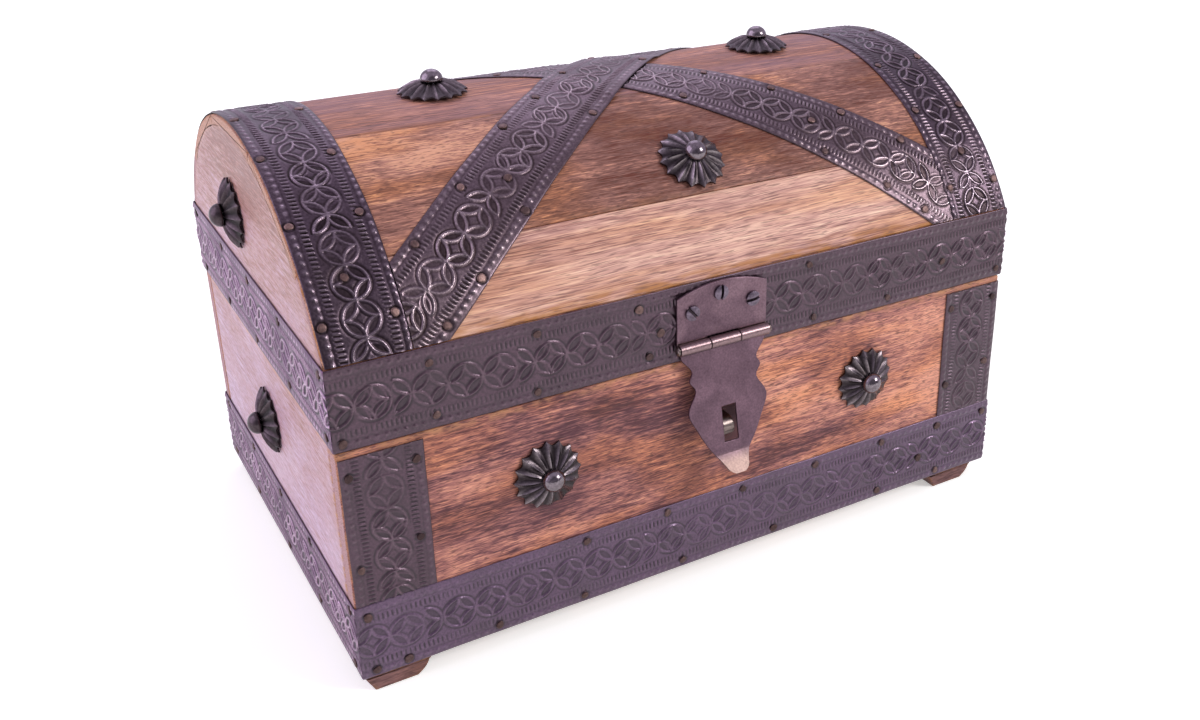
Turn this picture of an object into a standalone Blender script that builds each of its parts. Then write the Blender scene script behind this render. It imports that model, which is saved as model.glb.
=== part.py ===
"""Domed wooden treasure chest bound with sheet-iron strips.

A board box on four feet carries a lid of two rails, two D-shaped ends and bent staves.
Iron strips wrap the box, the lid rim and the dome, fluted cups are nailed between them,
two rolled hinges join the lid at the back and a hasp hangs from its front.

The origin is on the ground under the middle of the whole chest. The front faces -Y.
"""

import math

import bmesh
import bpy
from mathutils import Vector

# Driving dimensions, in metres

# Clearances
FIT = 0.0003                  # gap left between pieces that rest on each other
PIN_PLAY = 0.0002             # radial play of a pin in its rolled knuckles
SLOT_PLAY = 0.0007            # room under the staple in the slot of the hasp

# Box of boards
LENGTH = 0.298
DEPTH = 0.1915
BODY_HEIGHT = 0.094
WALL = 0.008
FLOOR_THICKNESS = 0.006
EASED_EDGE = 0.0006           # worn arris of every board

# Feet, cut from one moulding, so the rounded end is on the right of each
FOOT_HEIGHT = 0.007
FOOT_LENGTH = 0.026
FOOT_DEPTH = 0.026
FOOT_ROUND = 0.009
FOOT_SLOPE = 0.002
FOOT_INSET_LEFT = 0.0005
FOOT_INSET_RIGHT = 0.0055
FOOT_INSET_FRONT = 0.0004

# Lid
RAIL_HEIGHT = 0.031
DOME_RISE = 0.0595
STAVE_THICKNESS = 0.004
STAVE_WIDTH = 0.057           # the three upper staves, the two lowest take what is left

# Iron strips
STRIP_THICKNESS = 0.0007
STRIP_BEND = 0.0005           # inner radius where a strip turns a corner
WRAP_WIDTH = 0.031            # base band, rim band and cross straps
UPRIGHT_WIDTH = 0.030         # corner bands and end bands
BASE_BAND_LIFT = 0.0004
RIM_BAND_LIFT = 0.0002
UPRIGHT_INSET = 0.0004
CORNER_BAND_DROP = 0.0025
BUTT_GAP = 0.0006             # where the two ends of a wrapped strip meet at the back
CROSSING_X = 0.001
CROSSING_ARC = -0.003         # the straps cross a little in front of the ridge
STRAP_RAMP = 0.010            # run over which the upper strap climbs to the lower one
STRAP_LEAD = 0.007            # level run of the upper strap past each edge of the lower one

# Rosettes: a fluted cup under a domed nail
CUP_RADIUS = 0.0138
CUP_HEIGHT = 0.005
CUP_SHEET = 0.0007
CUP_CROWN = 0.0032
FLUTES = 16
FLUTE_POINT = 0.0015          # how far the points of the rim reach past the hollows between them
RIM_ARCH = 0.0005             # how far the rim arches up in those hollows
CUP_SHARES = (0.0, 0.6, 1.0)  # rings between the crown and the rim
RIDGE_FALL = 2.4              # the ridges bend down by this power, the hollows fall straight
NAIL_HEAD_RADIUS = 0.0045
NAIL_HEAD_HEIGHT = 0.0043
NAIL_HEAD_TURNS = (0.0, 35.0, 65.0)
NAIL_TOP_SHARE = 0.08         # flat left on top of the dome
NAIL_SHANK = 0.0009
NAIL_BITE = 0.003
FRONT_ROSETTE_X = 0.074
FRONT_ROSETTE_SHIFT = 0.001   # set by eye, so a little off the middle
RIDGE_ROSETTE_X = 0.076
RIDGE_ROSETTE_SHIFT = 0.0055
SLOPE_ROSETTE_X = 0.008
SLOPE_ROSETTE_ARC = 0.0705
BODY_END_ROSETTE_Y = -0.001
LID_END_ROSETTE_Y = 0.009
LID_END_ROSETTE_RISE = 0.022

# Hasp
HASP_X = 0.0023
HASP_SHEET = 0.0011
HASP_BARREL = 0.0023          # outer radius of the rolled knuckles
HASP_AXIS_ABOVE_SEAM = 0.0064
HASP_PLATE_WIDTH = 0.0403
HASP_PLATE_HEIGHT = 0.0245
HASP_PLATE_CROWN = 0.004
HASP_KNUCKLES = 3
HASP_LEAN = math.radians(10.5)
HASP_TIP_BEND = math.radians(34.0)
HASP_TIP_LENGTH = 0.0072
HASP_SLOT_WIDTH = 0.0066
HASP_SLOT_HEIGHT = 0.015
HASP_SLOT_DROP = 0.0344       # from the pin to the middle of the slot
HASP_HALF_WIDTHS = (          # distance below the pin, half width there
    (0.0028, 0.0190),
    (0.0050, 0.0184),
    (0.0099, 0.0147),
    (0.0139, 0.0162),
    (0.0184, 0.0139),
    (0.0264, 0.0180),
    (0.0349, 0.0145),
    (0.0409, 0.0115),
    (0.0484, 0.0066),
    (0.0524, 0.0045),
    (0.0540, 0.0022),
)
SCREW_HEAD_RADIUS = 0.003
SCREW_HEAD_HEIGHT = 0.0012
SCREW_CROWN = (               # shares of the radius and height of the head
    (1.0, 0.0),
    (0.93, 0.5),
    (0.55, 0.93),
    (0.1, 1.0),
)
SCREW_SLOT = 0.0008
SCREW_SHANK = 0.0012
SCREW_BITE = 0.005
SCREW_INSET = 0.00655         # from the side of the plate to the outer screws
SCREW_SIDE_RISE = 0.0139
SCREW_TOP_RISE = 0.0196
SCREW_TOP_SHIFT = -0.0009

# Staple that the hasp closes over
STAPLE_WIDTH = 0.005
STAPLE_SHEET = 0.0012
STAPLE_HEIGHT = 0.008
STAPLE_BITE = 0.006

# Back hinges
HINGE_X = 0.085
HINGE_WIDTH = 0.026
HINGE_SHEET = 0.001
HINGE_BARREL = 0.0024
HINGE_BODY_REACH = 0.019
HINGE_LID_REACH = 0.021
HINGE_KNUCKLES = 3
HINGE_JOG = 0.0022            # height over which the body leaf steps out to the barrel
KNUCKLE_GAP = 0.0004
PIN_HEAD = 0.0009
PIN_HEAD_SHARE = 0.82         # radius of a pin's head as a share of its barrel
PIN_HEAD_TAPER = 0.6          # share of the head's radius left at its end

# Facets
ARC_STEP = math.radians(3.0)
ROUND_SIDES = 16
NAIL_SIDES = 12
SMOOTH_ANGLE = math.radians(35.0)
ROLL_ANGLE = math.radians(290.0)
ROLL_STEPS = 12
STRAP_ROWS = 40
STRAP_COLUMNS = 4

# Levels and planes that follow from the sizes above
SEAM_Z = FOOT_HEIGHT + BODY_HEIGHT
LID_Z = SEAM_Z + FIT
SPRING_Z = LID_Z + RAIL_HEIGHT
DOME_RADIUS = ((DEPTH / 2) ** 2 + DOME_RISE ** 2) / (2 * DOME_RISE)
DOME_Z = SPRING_Z + DOME_RISE - DOME_RADIUS
STRIP_PROUD = FIT + STRIP_THICKNESS
BASE_BAND_TOP = FOOT_HEIGHT + BASE_BAND_LIFT + WRAP_WIDTH
RIM_BAND_Z = LID_Z + RIM_BAND_LIFT
RIM_BAND_TOP = RIM_BAND_Z + WRAP_WIDTH
PANEL_MIDDLE_Z = (BASE_BAND_TOP + SEAM_Z) / 2
STRAP_END_ANGLE = math.acos((max(RIM_BAND_TOP, SPRING_Z) + FIT - DOME_Z) / (DOME_RADIUS + FIT))

# The hasp hangs on a pin in front of the rim band, each hinge on one behind it
HASP_SEAT_Y = -(DEPTH / 2 + STRIP_PROUD + FIT)
HASP_ROLL = HASP_BARREL - HASP_SHEET / 2
HASP_AXIS = Vector((HASP_X, HASP_SEAT_Y - HASP_BARREL, SEAM_Z + HASP_AXIS_ABOVE_SEAM))
HINGE_ROLL = HINGE_BARREL - HINGE_SHEET / 2
HINGE_AXIS = Vector((0.0, DEPTH / 2 + STRIP_PROUD + FIT + HINGE_BARREL, SEAM_Z + FIT / 2))
STAPLE_Z = HASP_AXIS.z - HASP_SLOT_DROP - HASP_SLOT_HEIGHT / 2 + SLOT_PLAY + STAPLE_HEIGHT / 2

# Colours and finish of the pieces: red, green, blue, roughness, metallic
FINISHES = {
    "stained_wood": (0.26, 0.13, 0.075, 0.55, 0.0),
    "pale_wood": (0.55, 0.42, 0.38, 0.5, 0.0),
    "worn_wood": (0.48, 0.24, 0.10, 0.6, 0.0),
    "blackened_iron": (0.075, 0.062, 0.072, 0.42, 1.0),
    "hasp_steel": (0.13, 0.11, 0.115, 0.38, 1.0),
    "nail_steel": (0.16, 0.14, 0.14, 0.3, 1.0),
}


def clear_scene():
    """Empty the scene of objects."""
    for obj in list(bpy.data.objects):
        bpy.data.objects.remove(obj, do_unlink=True)


def material(name):
    """Principled material of one of the finishes, made on first use."""
    found = bpy.data.materials.get(name)
    if found:
        return found
    red, green, blue, roughness, metallic = FINISHES[name]
    made = bpy.data.materials.new(name)
    made.use_nodes = True
    shader = made.node_tree.nodes["Principled BSDF"]
    shader.inputs["Base Color"].default_value = (red, green, blue, 1.0)
    shader.inputs["Roughness"].default_value = roughness
    shader.inputs["Metallic"].default_value = metallic
    made.diffuse_color = (red, green, blue, 1.0)
    return made


def pivot(name, location, parent=None):
    """Empty that carries a body, at a world location."""
    empty = bpy.data.objects.new(name, None)
    bpy.context.scene.collection.objects.link(empty)
    place(empty, parent, location)
    return empty


def place(obj, parent, location, rotation=(0.0, 0.0, 0.0)):
    """Hang an object on a carrier that isn't turned, at a world location."""
    base = Vector((0.0, 0.0, 0.0))
    carrier = parent
    while carrier:
        base += carrier.location
        carrier = carrier.parent
    obj.parent = parent
    obj.location = Vector(location) - base
    obj.rotation_euler = rotation


def mesh_from(name, vertices, faces):
    """Closed mesh from points and faces, with its faces turned outwards."""
    shell = bmesh.new()
    points = [shell.verts.new(point) for point in vertices]
    for face in faces:
        shell.faces.new([points[index] for index in face])
    bmesh.ops.recalc_face_normals(shell, faces=shell.faces)
    mesh = bpy.data.meshes.new(name)
    shell.to_mesh(mesh)
    shell.free()
    return mesh


def add(name, mesh, finish, parent, location=(0.0, 0.0, 0.0), rotation=(0.0, 0.0, 0.0),
        smooth=False):
    """Make one named piece of the chest from its mesh."""
    if not mesh.materials:
        mesh.materials.append(material(finish))
    if smooth:
        mesh.shade_smooth()
        mesh.set_sharp_from_angle(angle=SMOOTH_ANGLE)
    obj = bpy.data.objects.new(name, mesh)
    bpy.context.scene.collection.objects.link(obj)
    place(obj, parent, location, rotation)
    return obj


def cutter(name, mesh, parent, location=(0.0, 0.0, 0.0), rotation=(0.0, 0.0, 0.0)):
    """Hidden solid that shapes other pieces."""
    obj = bpy.data.objects.new(name, mesh)
    bpy.context.scene.collection.objects.link(obj)
    obj.hide_render = True
    obj.display_type = "WIRE"
    place(obj, parent, location, rotation)
    return obj


def shape_with(obj, tool, operation="DIFFERENCE"):
    """Add an exact Boolean of a piece with a cutter."""
    boolean = obj.modifiers.new(tool.name, "BOOLEAN")
    boolean.operation = operation
    boolean.solver = "EXACT"
    boolean.object = tool


def ease_edges(obj):
    """Give a board its worn arrises."""
    bevel = obj.modifiers.new("eased_edges", "BEVEL")
    bevel.width = EASED_EDGE
    bevel.segments = 1
    bevel.limit_method = "ANGLE"


def prism(name, outline, axis, start, end):
    """Extrude an outline along an axis: (y, z) pairs along X, (x, z) along Y, (x, y) along Z."""
    count = len(outline)
    vertices = []
    for level in (start, end):
        for pair in outline:
            point = list(pair)
            point.insert("XYZ".index(axis), level)
            vertices.append(point)
    faces = [list(range(count)), list(range(count, 2 * count))]
    for index in range(count):
        after = (index + 1) % count
        faces.append([index, after, count + after, count + index])
    return mesh_from(name, vertices, faces)


def block(name, low, high):
    """Rectangular solid between two corners."""
    outline = [(low[0], low[1]), (high[0], low[1]), (high[0], high[1]), (low[0], high[1])]
    return prism(name, outline, "Z", low[2], high[2])


def turned(name, profile, sides=ROUND_SIDES):
    """Turn (radius, height) pairs about Z. The first and last points close on the axis."""
    vertices = [(0.0, 0.0, profile[0][1])]
    for radius, height in profile:
        for step in range(sides):
            angle = 2 * math.pi * step / sides
            vertices.append((radius * math.cos(angle), radius * math.sin(angle), height))
    vertices.append((0.0, 0.0, profile[-1][1]))
    last = len(vertices) - 1
    faces = []
    for step in range(sides):
        after = (step + 1) % sides
        faces.append([0, 1 + after, 1 + step])
        for ring in range(len(profile) - 1):
            lower = 1 + ring * sides
            upper = lower + sides
            faces.append([lower + step, lower + after, upper + after, upper + step])
        top = 1 + (len(profile) - 1) * sides
        faces.append([last, top + step, top + after])
    return mesh_from(name, vertices, faces)


def arc(centre_y, centre_z, radius, start, end, steps):
    """Points on an arc in the YZ plane, with angles measured from straight up towards +Y."""
    points = []
    for step in range(steps + 1):
        angle = start + (end - start) * step / steps
        points.append((centre_y + radius * math.sin(angle), centre_z + radius * math.cos(angle)))
    return points


def arc_steps(start, end):
    """Number of facets for an arc of the dome."""
    return max(2, math.ceil(abs(end - start) / ARC_STEP))


def smooth_step(value):
    """Ease from 0 to 1 as the value goes from 0 to 1."""
    held = min(1.0, max(0.0, value))
    return held * held * (3.0 - 2.0 * held)


def smooth_curve(points, steps):
    """Catmull-Rom curve through (along, width) pairs."""
    padded = [points[0]] + list(points) + [points[-1]]
    curve = []
    for before, here, there, beyond in zip(padded, padded[1:], padded[2:], padded[3:]):
        for step in range(steps):
            t = step / steps
            pair = []
            for a, b, c, d in zip(before, here, there, beyond):
                pair.append(0.5 * (2 * b + (c - a) * t + (2 * a - 5 * b + 4 * c - d) * t ** 2
                                   + (3 * b - a - 3 * c + d) * t ** 3))
            curve.append(tuple(pair))
    curve.append(tuple(points[-1]))
    return curve


def ribbon(path, thickness):
    """Outline of a bent sheet: its middle line, moved half the thickness to either side."""
    left = []
    right = []
    for index, here in enumerate(path):
        before = Vector(path[max(index - 1, 0)])
        after = Vector(path[min(index + 1, len(path) - 1)])
        into = (Vector(here) - before).normalized() if index else (after - Vector(here)).normalized()
        out = (after - Vector(here)).normalized() if index < len(path) - 1 else into
        across = Vector((-(into.y + out.y), into.x + out.x)).normalized()
        reach = thickness / 2 / max(0.5, across.dot(Vector((-into.y, into.x))))
        left.append(tuple(Vector(here) + across * reach))
        right.append(tuple(Vector(here) - across * reach))
    return left + right[::-1]


def rolled_path(flat, radius, rise):
    """Middle line of a leaf in (outward, height): its flat run and then the roll round the pin.

    The run arrives at the inner side of the barrel, at the height of the pin. It comes from
    above where rise is 1 and the roll passes under the pin, and the other way where it is -1.
    """
    roll = []
    for step in range(ROLL_STEPS + 1):
        angle = ROLL_ANGLE * step / ROLL_STEPS
        roll.append((-radius * math.cos(angle), -rise * radius * math.sin(angle)))
    return flat + roll


def sheet_leaf(name, path, sheet, side, half_width):
    """Extrude a bent sheet along X, with outward turned to -Y (side -1) or +Y (side 1)."""
    outline = [(side * outward, height) for outward, height in ribbon(path, sheet)]
    return prism(name, outline, "X", -half_width, half_width)


def knuckle_spans(width, knuckles, odd):
    """Stretches along a barrel that belong to the other leaf, opened by the knuckle gap."""
    pitch = width / knuckles
    spans = []
    for index in range(knuckles):
        if index % 2 == odd:
            low = -width / 2 + index * pitch
            low_gap = KNUCKLE_GAP / 2 if index else width
            high_gap = KNUCKLE_GAP / 2 if index < knuckles - 1 else width
            spans.append((low - low_gap, low + pitch + high_gap))
    return spans


def cut_knuckles(leaf, width, knuckles, odd, barrel, parent, location, rotation=(0.0, 0.0, 0.0)):
    """Clear a leaf round the knuckles of the other leaf."""
    reach = barrel + FIT
    for index, (low, high) in enumerate(knuckle_spans(width, knuckles, odd)):
        room = block(f"{leaf.name}_room", (low, -2 * reach, -reach), (high, 2 * reach, reach))
        shape_with(leaf, cutter(f"{leaf.name}_room_{index}", room, parent, location, rotation))


def barrel_pin(name, width, barrel, sheet, parent, location):
    """Pin along X inside a rolled barrel, with a peened head at each end."""
    radius = barrel - sheet - PIN_PLAY
    head_radius = barrel * PIN_HEAD_SHARE
    half = width / 2 + FIT
    end = [
        (head_radius * PIN_HEAD_TAPER, half + PIN_HEAD),
        (head_radius, half + PIN_HEAD / 2),
        (head_radius, half),
        (radius, half),
    ]
    profile = [(reach, -height) for reach, height in end] + end[::-1]
    mesh = turned(name, profile, NAIL_SIDES)
    return add(name, mesh, "nail_steel", parent, location, (0.0, math.pi / 2, 0.0), True)


def make_boards(chest):
    """Front and back boards over the ends of the end boards, and the floor between them."""
    half_x = LENGTH / 2
    half_y = DEPTH / 2
    inner_x = half_x - WALL
    inner_y = half_y - WALL
    between = inner_y - FIT
    boards = {
        "front_board": ((-half_x, -half_y), (half_x, -inner_y), "stained_wood"),
        "back_board": ((-half_x, inner_y), (half_x, half_y), "stained_wood"),
        "left_end_board": ((-half_x, -between), (-inner_x, between), "pale_wood"),
        "right_end_board": ((inner_x, -between), (half_x, between), "pale_wood"),
    }
    made = {}
    for name, (low, high, finish) in boards.items():
        mesh = block(name, (*low, FOOT_HEIGHT), (*high, SEAM_Z))
        made[name] = add(name, mesh, finish, chest)
        ease_edges(made[name])
    low = (-inner_x + FIT, -between, FOOT_HEIGHT)
    high = (inner_x - FIT, between, FOOT_HEIGHT + FLOOR_THICKNESS)
    add("floor_board", block("floor_board", low, high), "stained_wood", chest)
    return made


def make_feet(chest):
    """Four lengths of one moulding, sloped on the left and rounded under on the right."""
    top = FOOT_HEIGHT - FIT
    round_start = FOOT_LENGTH - FOOT_ROUND
    outline = [(0.0, top), (FOOT_SLOPE, 0.0)]
    for step in range(ROUND_SIDES // 2 + 1):
        angle = math.pi / 2 * step / (ROUND_SIDES // 2)
        outline.append((round_start + FOOT_ROUND * math.sin(angle), top - top * math.cos(angle)))
    mesh = prism("foot", outline, "Y", 0.0, FOOT_DEPTH)
    left = -LENGTH / 2 + FOOT_INSET_LEFT
    right = LENGTH / 2 - FOOT_INSET_RIGHT - FOOT_LENGTH
    front = -DEPTH / 2 + FOOT_INSET_FRONT
    back = DEPTH / 2 - FOOT_INSET_FRONT - FOOT_DEPTH
    for row, y in (("front", front), ("back", back)):
        for side, x in (("left", left), ("right", right)):
            add(f"foot_{row}_{side}", mesh, "worn_wood", chest, (x, y, 0.0))


def corner_points(half_x, half_y, radius, ends):
    """Rectangle with round corners, begun and ended at the butt joint at the back."""
    points = [(-ends, half_y)]
    corners = ((-1, 1, 0.0), (-1, -1, 90.0), (1, -1, 180.0), (1, 1, 270.0))
    for side_x, side_y, start in corners:
        centre_x = side_x * (half_x - radius)
        centre_y = side_y * (half_y - radius)
        for turn in (0.0, 30.0, 60.0, 90.0):
            angle = math.radians(90.0 + start + turn)
            points.append((centre_x + radius * math.cos(angle), centre_y + radius * math.sin(angle)))
    points.append((ends, half_y))
    return points


def wrapped_strip(name, low, high, parent):
    """Strip bent round the four sides, its ends butted at the middle of the back."""
    outer_bend = STRIP_BEND + STRIP_THICKNESS
    inner = corner_points(LENGTH / 2 + FIT, DEPTH / 2 + FIT, STRIP_BEND, BUTT_GAP / 2)
    outer = corner_points(LENGTH / 2 + STRIP_PROUD, DEPTH / 2 + STRIP_PROUD, outer_bend, BUTT_GAP / 2)
    return add(name, prism(name, outer + inner[::-1], "Z", low, high), "blackened_iron", parent)


def make_body_bands(chest):
    """Base band round the box, and the upright bands on the two front corners."""
    wrapped_strip("base_band", FOOT_HEIGHT + BASE_BAND_LIFT, BASE_BAND_TOP, chest)
    outer = LENGTH / 2 - UPRIGHT_INSET
    inner = outer - UPRIGHT_WIDTH
    face = -DEPTH / 2 - FIT
    for side, low, high in (("left", -outer, -inner), ("right", inner, outer)):
        name = f"corner_band_{side}"
        low_corner = (low, face - STRIP_THICKNESS, BASE_BAND_TOP + FIT)
        high_corner = (high, face, SEAM_Z - CORNER_BAND_DROP)
        add(name, block(name, low_corner, high_corner), "blackened_iron", chest)


def dome_panel():
    """Outline of a lid end: between the rails below, and under the staves above the rails."""
    inner = DEPTH / 2 - WALL - FIT
    radius = DOME_RADIUS - STAVE_THICKNESS - FIT
    shoulder = SPRING_Z + FIT
    reach = math.acos((shoulder - DOME_Z) / radius)
    crown = arc(0.0, DOME_Z, radius, reach, -reach, 2 * arc_steps(0.0, reach))
    return [(-inner, LID_Z), (inner, LID_Z), (inner, shoulder)] + crown + [(-inner, shoulder)]


def make_lid_frame(lid):
    """Front and back rails over the ends of the two D-shaped end panels."""
    half_x = LENGTH / 2
    half_y = DEPTH / 2
    rails = {"lid_front_rail": (-half_y, -half_y + WALL), "lid_back_rail": (half_y - WALL, half_y)}
    made = {}
    for name, (low, high) in rails.items():
        mesh = block(name, (-half_x, low, LID_Z), (half_x, high, SPRING_Z))
        made[name] = add(name, mesh, "stained_wood", lid)
        ease_edges(made[name])
    for side, start, end in (("left", -half_x, -half_x + WALL), ("right", half_x - WALL, half_x)):
        name = f"lid_{side}_end"
        made[name] = add(name, prism(name, dome_panel(), "X", start, end), "pale_wood", lid)
    return made


def stave_outline(start, end):
    """Slice of the dome shell between two angles, both cut square to the shell."""
    steps = arc_steps(start, end)
    eased = EASED_EDGE / DOME_RADIUS
    outer = arc(0.0, DOME_Z, DOME_RADIUS, start + eased, end - eased, steps)
    inner = arc(0.0, DOME_Z, DOME_RADIUS - STAVE_THICKNESS, end, start, steps)
    first = arc(0.0, DOME_Z, DOME_RADIUS - EASED_EDGE, start, end, 1)
    return [first[0]] + outer + [first[1]] + inner


def skirt_outline(start, side):
    """Lowest stave of one side, cut level where it stands on its rail."""
    foot = SPRING_Z + FIT
    outer_end = math.acos((foot - DOME_Z) / DOME_RADIUS)
    inner_radius = DOME_RADIUS - STAVE_THICKNESS
    inner_end = math.acos((foot - DOME_Z) / inner_radius)
    eased = EASED_EDGE / DOME_RADIUS
    corner = arc(0.0, DOME_Z, DOME_RADIUS - EASED_EDGE, start, start, 1)[:1]
    outer = arc(0.0, DOME_Z, DOME_RADIUS, start + eased, outer_end, arc_steps(start, outer_end))
    inner = arc(0.0, DOME_Z, inner_radius, inner_end, start, arc_steps(start, inner_end))
    return [(side * y, z) for y, z in corner + outer + inner]


def make_staves(lid):
    """Five staves over the end panels, from the front rail to the back rail."""
    half_gap = FIT / 2 / DOME_RADIUS
    pitch = STAVE_WIDTH / DOME_RADIUS
    outlines = {
        "stave_front_skirt": skirt_outline(1.5 * pitch + half_gap, -1),
        "stave_front": stave_outline(-1.5 * pitch + half_gap, -0.5 * pitch - half_gap),
        "stave_ridge": stave_outline(-0.5 * pitch + half_gap, 0.5 * pitch - half_gap),
        "stave_back": stave_outline(0.5 * pitch + half_gap, 1.5 * pitch - half_gap),
        "stave_back_skirt": skirt_outline(1.5 * pitch + half_gap, 1),
    }
    made = {}
    for name, outline in outlines.items():
        mesh = prism(name, outline, "X", -LENGTH / 2, LENGTH / 2)
        made[name] = add(name, mesh, "stained_wood", lid, smooth=True)
    return made


def make_lid_bands(lid):
    """Rim band round the lid, and an end band over the dome at each end."""
    rim = wrapped_strip("rim_band", RIM_BAND_Z, RIM_BAND_TOP, lid)
    inner_radius = DOME_RADIUS + FIT
    outer_radius = inner_radius + STRIP_THICKNESS
    steps = 2 * arc_steps(0.0, STRAP_END_ANGLE)
    outline = arc(0.0, DOME_Z, outer_radius, -STRAP_END_ANGLE, STRAP_END_ANGLE, steps)
    outline += arc(0.0, DOME_Z, inner_radius, STRAP_END_ANGLE, -STRAP_END_ANGLE, steps)
    outer = LENGTH / 2 - UPRIGHT_INSET
    inner = outer - UPRIGHT_WIDTH
    for side, start, end in (("left", -outer, -inner), ("right", inner, outer)):
        name = f"end_band_{side}"
        add(name, prism(name, outline, "X", start, end), "blackened_iron", lid, smooth=True)
    return rim


def strap_directions(sense):
    """Unit vectors along and across a strap on the unrolled dome.

    The strap of sense 1 rises from the front left to the back right, that of -1 crosses it.
    """
    end_x = LENGTH / 2 - UPRIGHT_INSET - UPRIGHT_WIDTH / 2
    end_arc = STRAP_END_ANGLE * DOME_RADIUS
    along = Vector((end_x, sense * end_arc)).normalized()
    return along, Vector((-along.y, along.x))


def strap_grid(sense):
    """Points of one cross strap on the unrolled dome, row by row, cut off at bands and rim."""
    along, across = strap_directions(sense)
    middle = Vector((CROSSING_X, CROSSING_ARC))
    limit_x = LENGTH / 2 - UPRIGHT_INSET - UPRIGHT_WIDTH - FIT
    limit_arc = STRAP_END_ANGLE * DOME_RADIUS
    half = WRAP_WIDTH / 2
    offsets = [-half + WRAP_WIDTH * column / STRAP_COLUMNS for column in range(STRAP_COLUMNS + 1)]
    for end in (-1, 1):
        corner = across.dot(Vector((end * limit_x, end * sense * limit_arc)) - middle)
        if abs(corner) < half:
            offsets.append(corner)
    columns = []
    for offset in sorted(offsets):
        start = middle + across * offset
        bounds_x = sorted(((-limit_x - start.x) / along.x, (limit_x - start.x) / along.x))
        bounds_arc = sorted(((-limit_arc - start.y) / along.y, (limit_arc - start.y) / along.y))
        low = max(bounds_x[0], bounds_arc[0])
        high = min(bounds_x[1], bounds_arc[1])
        step = along * ((high - low) / STRAP_ROWS)
        columns.append([start + along * low + step * row for row in range(STRAP_ROWS + 1)])
    return columns


def strap_lift(point):
    """Height of the upper strap over the dome where it climbs across the lower strap."""
    across_lower = strap_directions(-1)[1]
    away = abs(across_lower.dot(point - Vector((CROSSING_X, CROSSING_ARC)))) - WRAP_WIDTH / 2
    return STRIP_PROUD * smooth_step(1.0 - (away - STRAP_LEAD) / STRAP_RAMP)


def cross_strap(name, sense, climbs, lid):
    """Diagonal strip that follows the dome from one corner of the rim to the other."""
    columns = strap_grid(sense)
    rows = STRAP_ROWS + 1
    vertices = []
    for thickness in (0.0, STRIP_THICKNESS):
        for column in columns:
            for point in column:
                radius = DOME_RADIUS + FIT + thickness + (strap_lift(point) if climbs else 0.0)
                angle = point.y / DOME_RADIUS
                vertices.append((point.x, radius * math.sin(angle), DOME_Z + radius * math.cos(angle)))
    layer = len(columns) * rows
    faces = []
    for column in range(len(columns) - 1):
        for row in range(STRAP_ROWS):
            first = column * rows + row
            quad = [first, first + 1, first + rows + 1, first + rows]
            faces.append(quad)
            faces.append([index + layer for index in quad])
    rim = list(range(rows))
    rim += [column * rows + STRAP_ROWS for column in range(1, len(columns))]
    rim += [(len(columns) - 1) * rows + row for row in range(STRAP_ROWS - 1, -1, -1)]
    rim += [column * rows for column in range(len(columns) - 2, 0, -1)]
    for here, there in zip(rim, rim[1:] + rim[:1]):
        faces.append([here, there, there + layer, here + layer])
    return add(name, mesh_from(name, vertices, faces), "blackened_iron", lid, smooth=True)


def cup_mesh():
    """Fluted cup about Z: hollows fall straight from a flat crown, ridges bend down to pointed ends."""
    hole = NAIL_SHANK + FIT
    sides = 2 * FLUTES
    rim = FIT + CUP_SHEET
    stations = []
    for share in CUP_SHARES:
        radius = CUP_CROWN + (CUP_RADIUS - CUP_CROWN) * share
        hollow = CUP_HEIGHT + (rim + RIM_ARCH - CUP_HEIGHT) * share
        crest = CUP_HEIGHT + (rim - CUP_HEIGHT) * share ** RIDGE_FALL
        stations.append((radius, hollow, crest - hollow, FLUTE_POINT * share))
    stations.insert(0, (hole, CUP_HEIGHT, 0.0, 0.0))
    vertices = []
    for drop in (0.0, CUP_SHEET):
        for radius, height, ridge, point in stations:
            for side in range(sides):
                angle = 2 * math.pi * side / sides
                valley = side % 2
                reach = radius - point * valley
                rise = height + ridge * (1 - valley) - drop
                vertices.append((reach * math.cos(angle), reach * math.sin(angle), rise))
    layer = len(stations) * sides
    faces = []
    for side in range(sides):
        after = (side + 1) % sides
        for station in range(len(stations) - 1):
            inner = station * sides
            outer = inner + sides
            quad = [inner + side, inner + after, outer + after, outer + side]
            faces.append(quad)
            faces.append([index + layer for index in quad])
        edge = layer - sides
        faces.append([edge + side, edge + after, edge + after + layer, edge + side + layer])
        faces.append([side, after, after + layer, side + layer])
    return mesh_from("rosette_cup", vertices, faces)


def nail_mesh():
    """Domed nail about Z: its head sits on the crown of the cup, its shank ends in the wood."""
    seat = CUP_HEIGHT + FIT
    profile = [(NAIL_SHANK, -NAIL_BITE), (NAIL_SHANK, seat)]
    for turn in NAIL_HEAD_TURNS:
        angle = math.radians(turn)
        reach = NAIL_HEAD_RADIUS * math.cos(angle)
        profile.append((reach, seat + NAIL_HEAD_HEIGHT * math.sin(angle)))
    profile.append((NAIL_HEAD_RADIUS * NAIL_TOP_SHARE, seat + NAIL_HEAD_HEIGHT))
    return turned("rosette_nail", profile, NAIL_SIDES)


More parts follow.
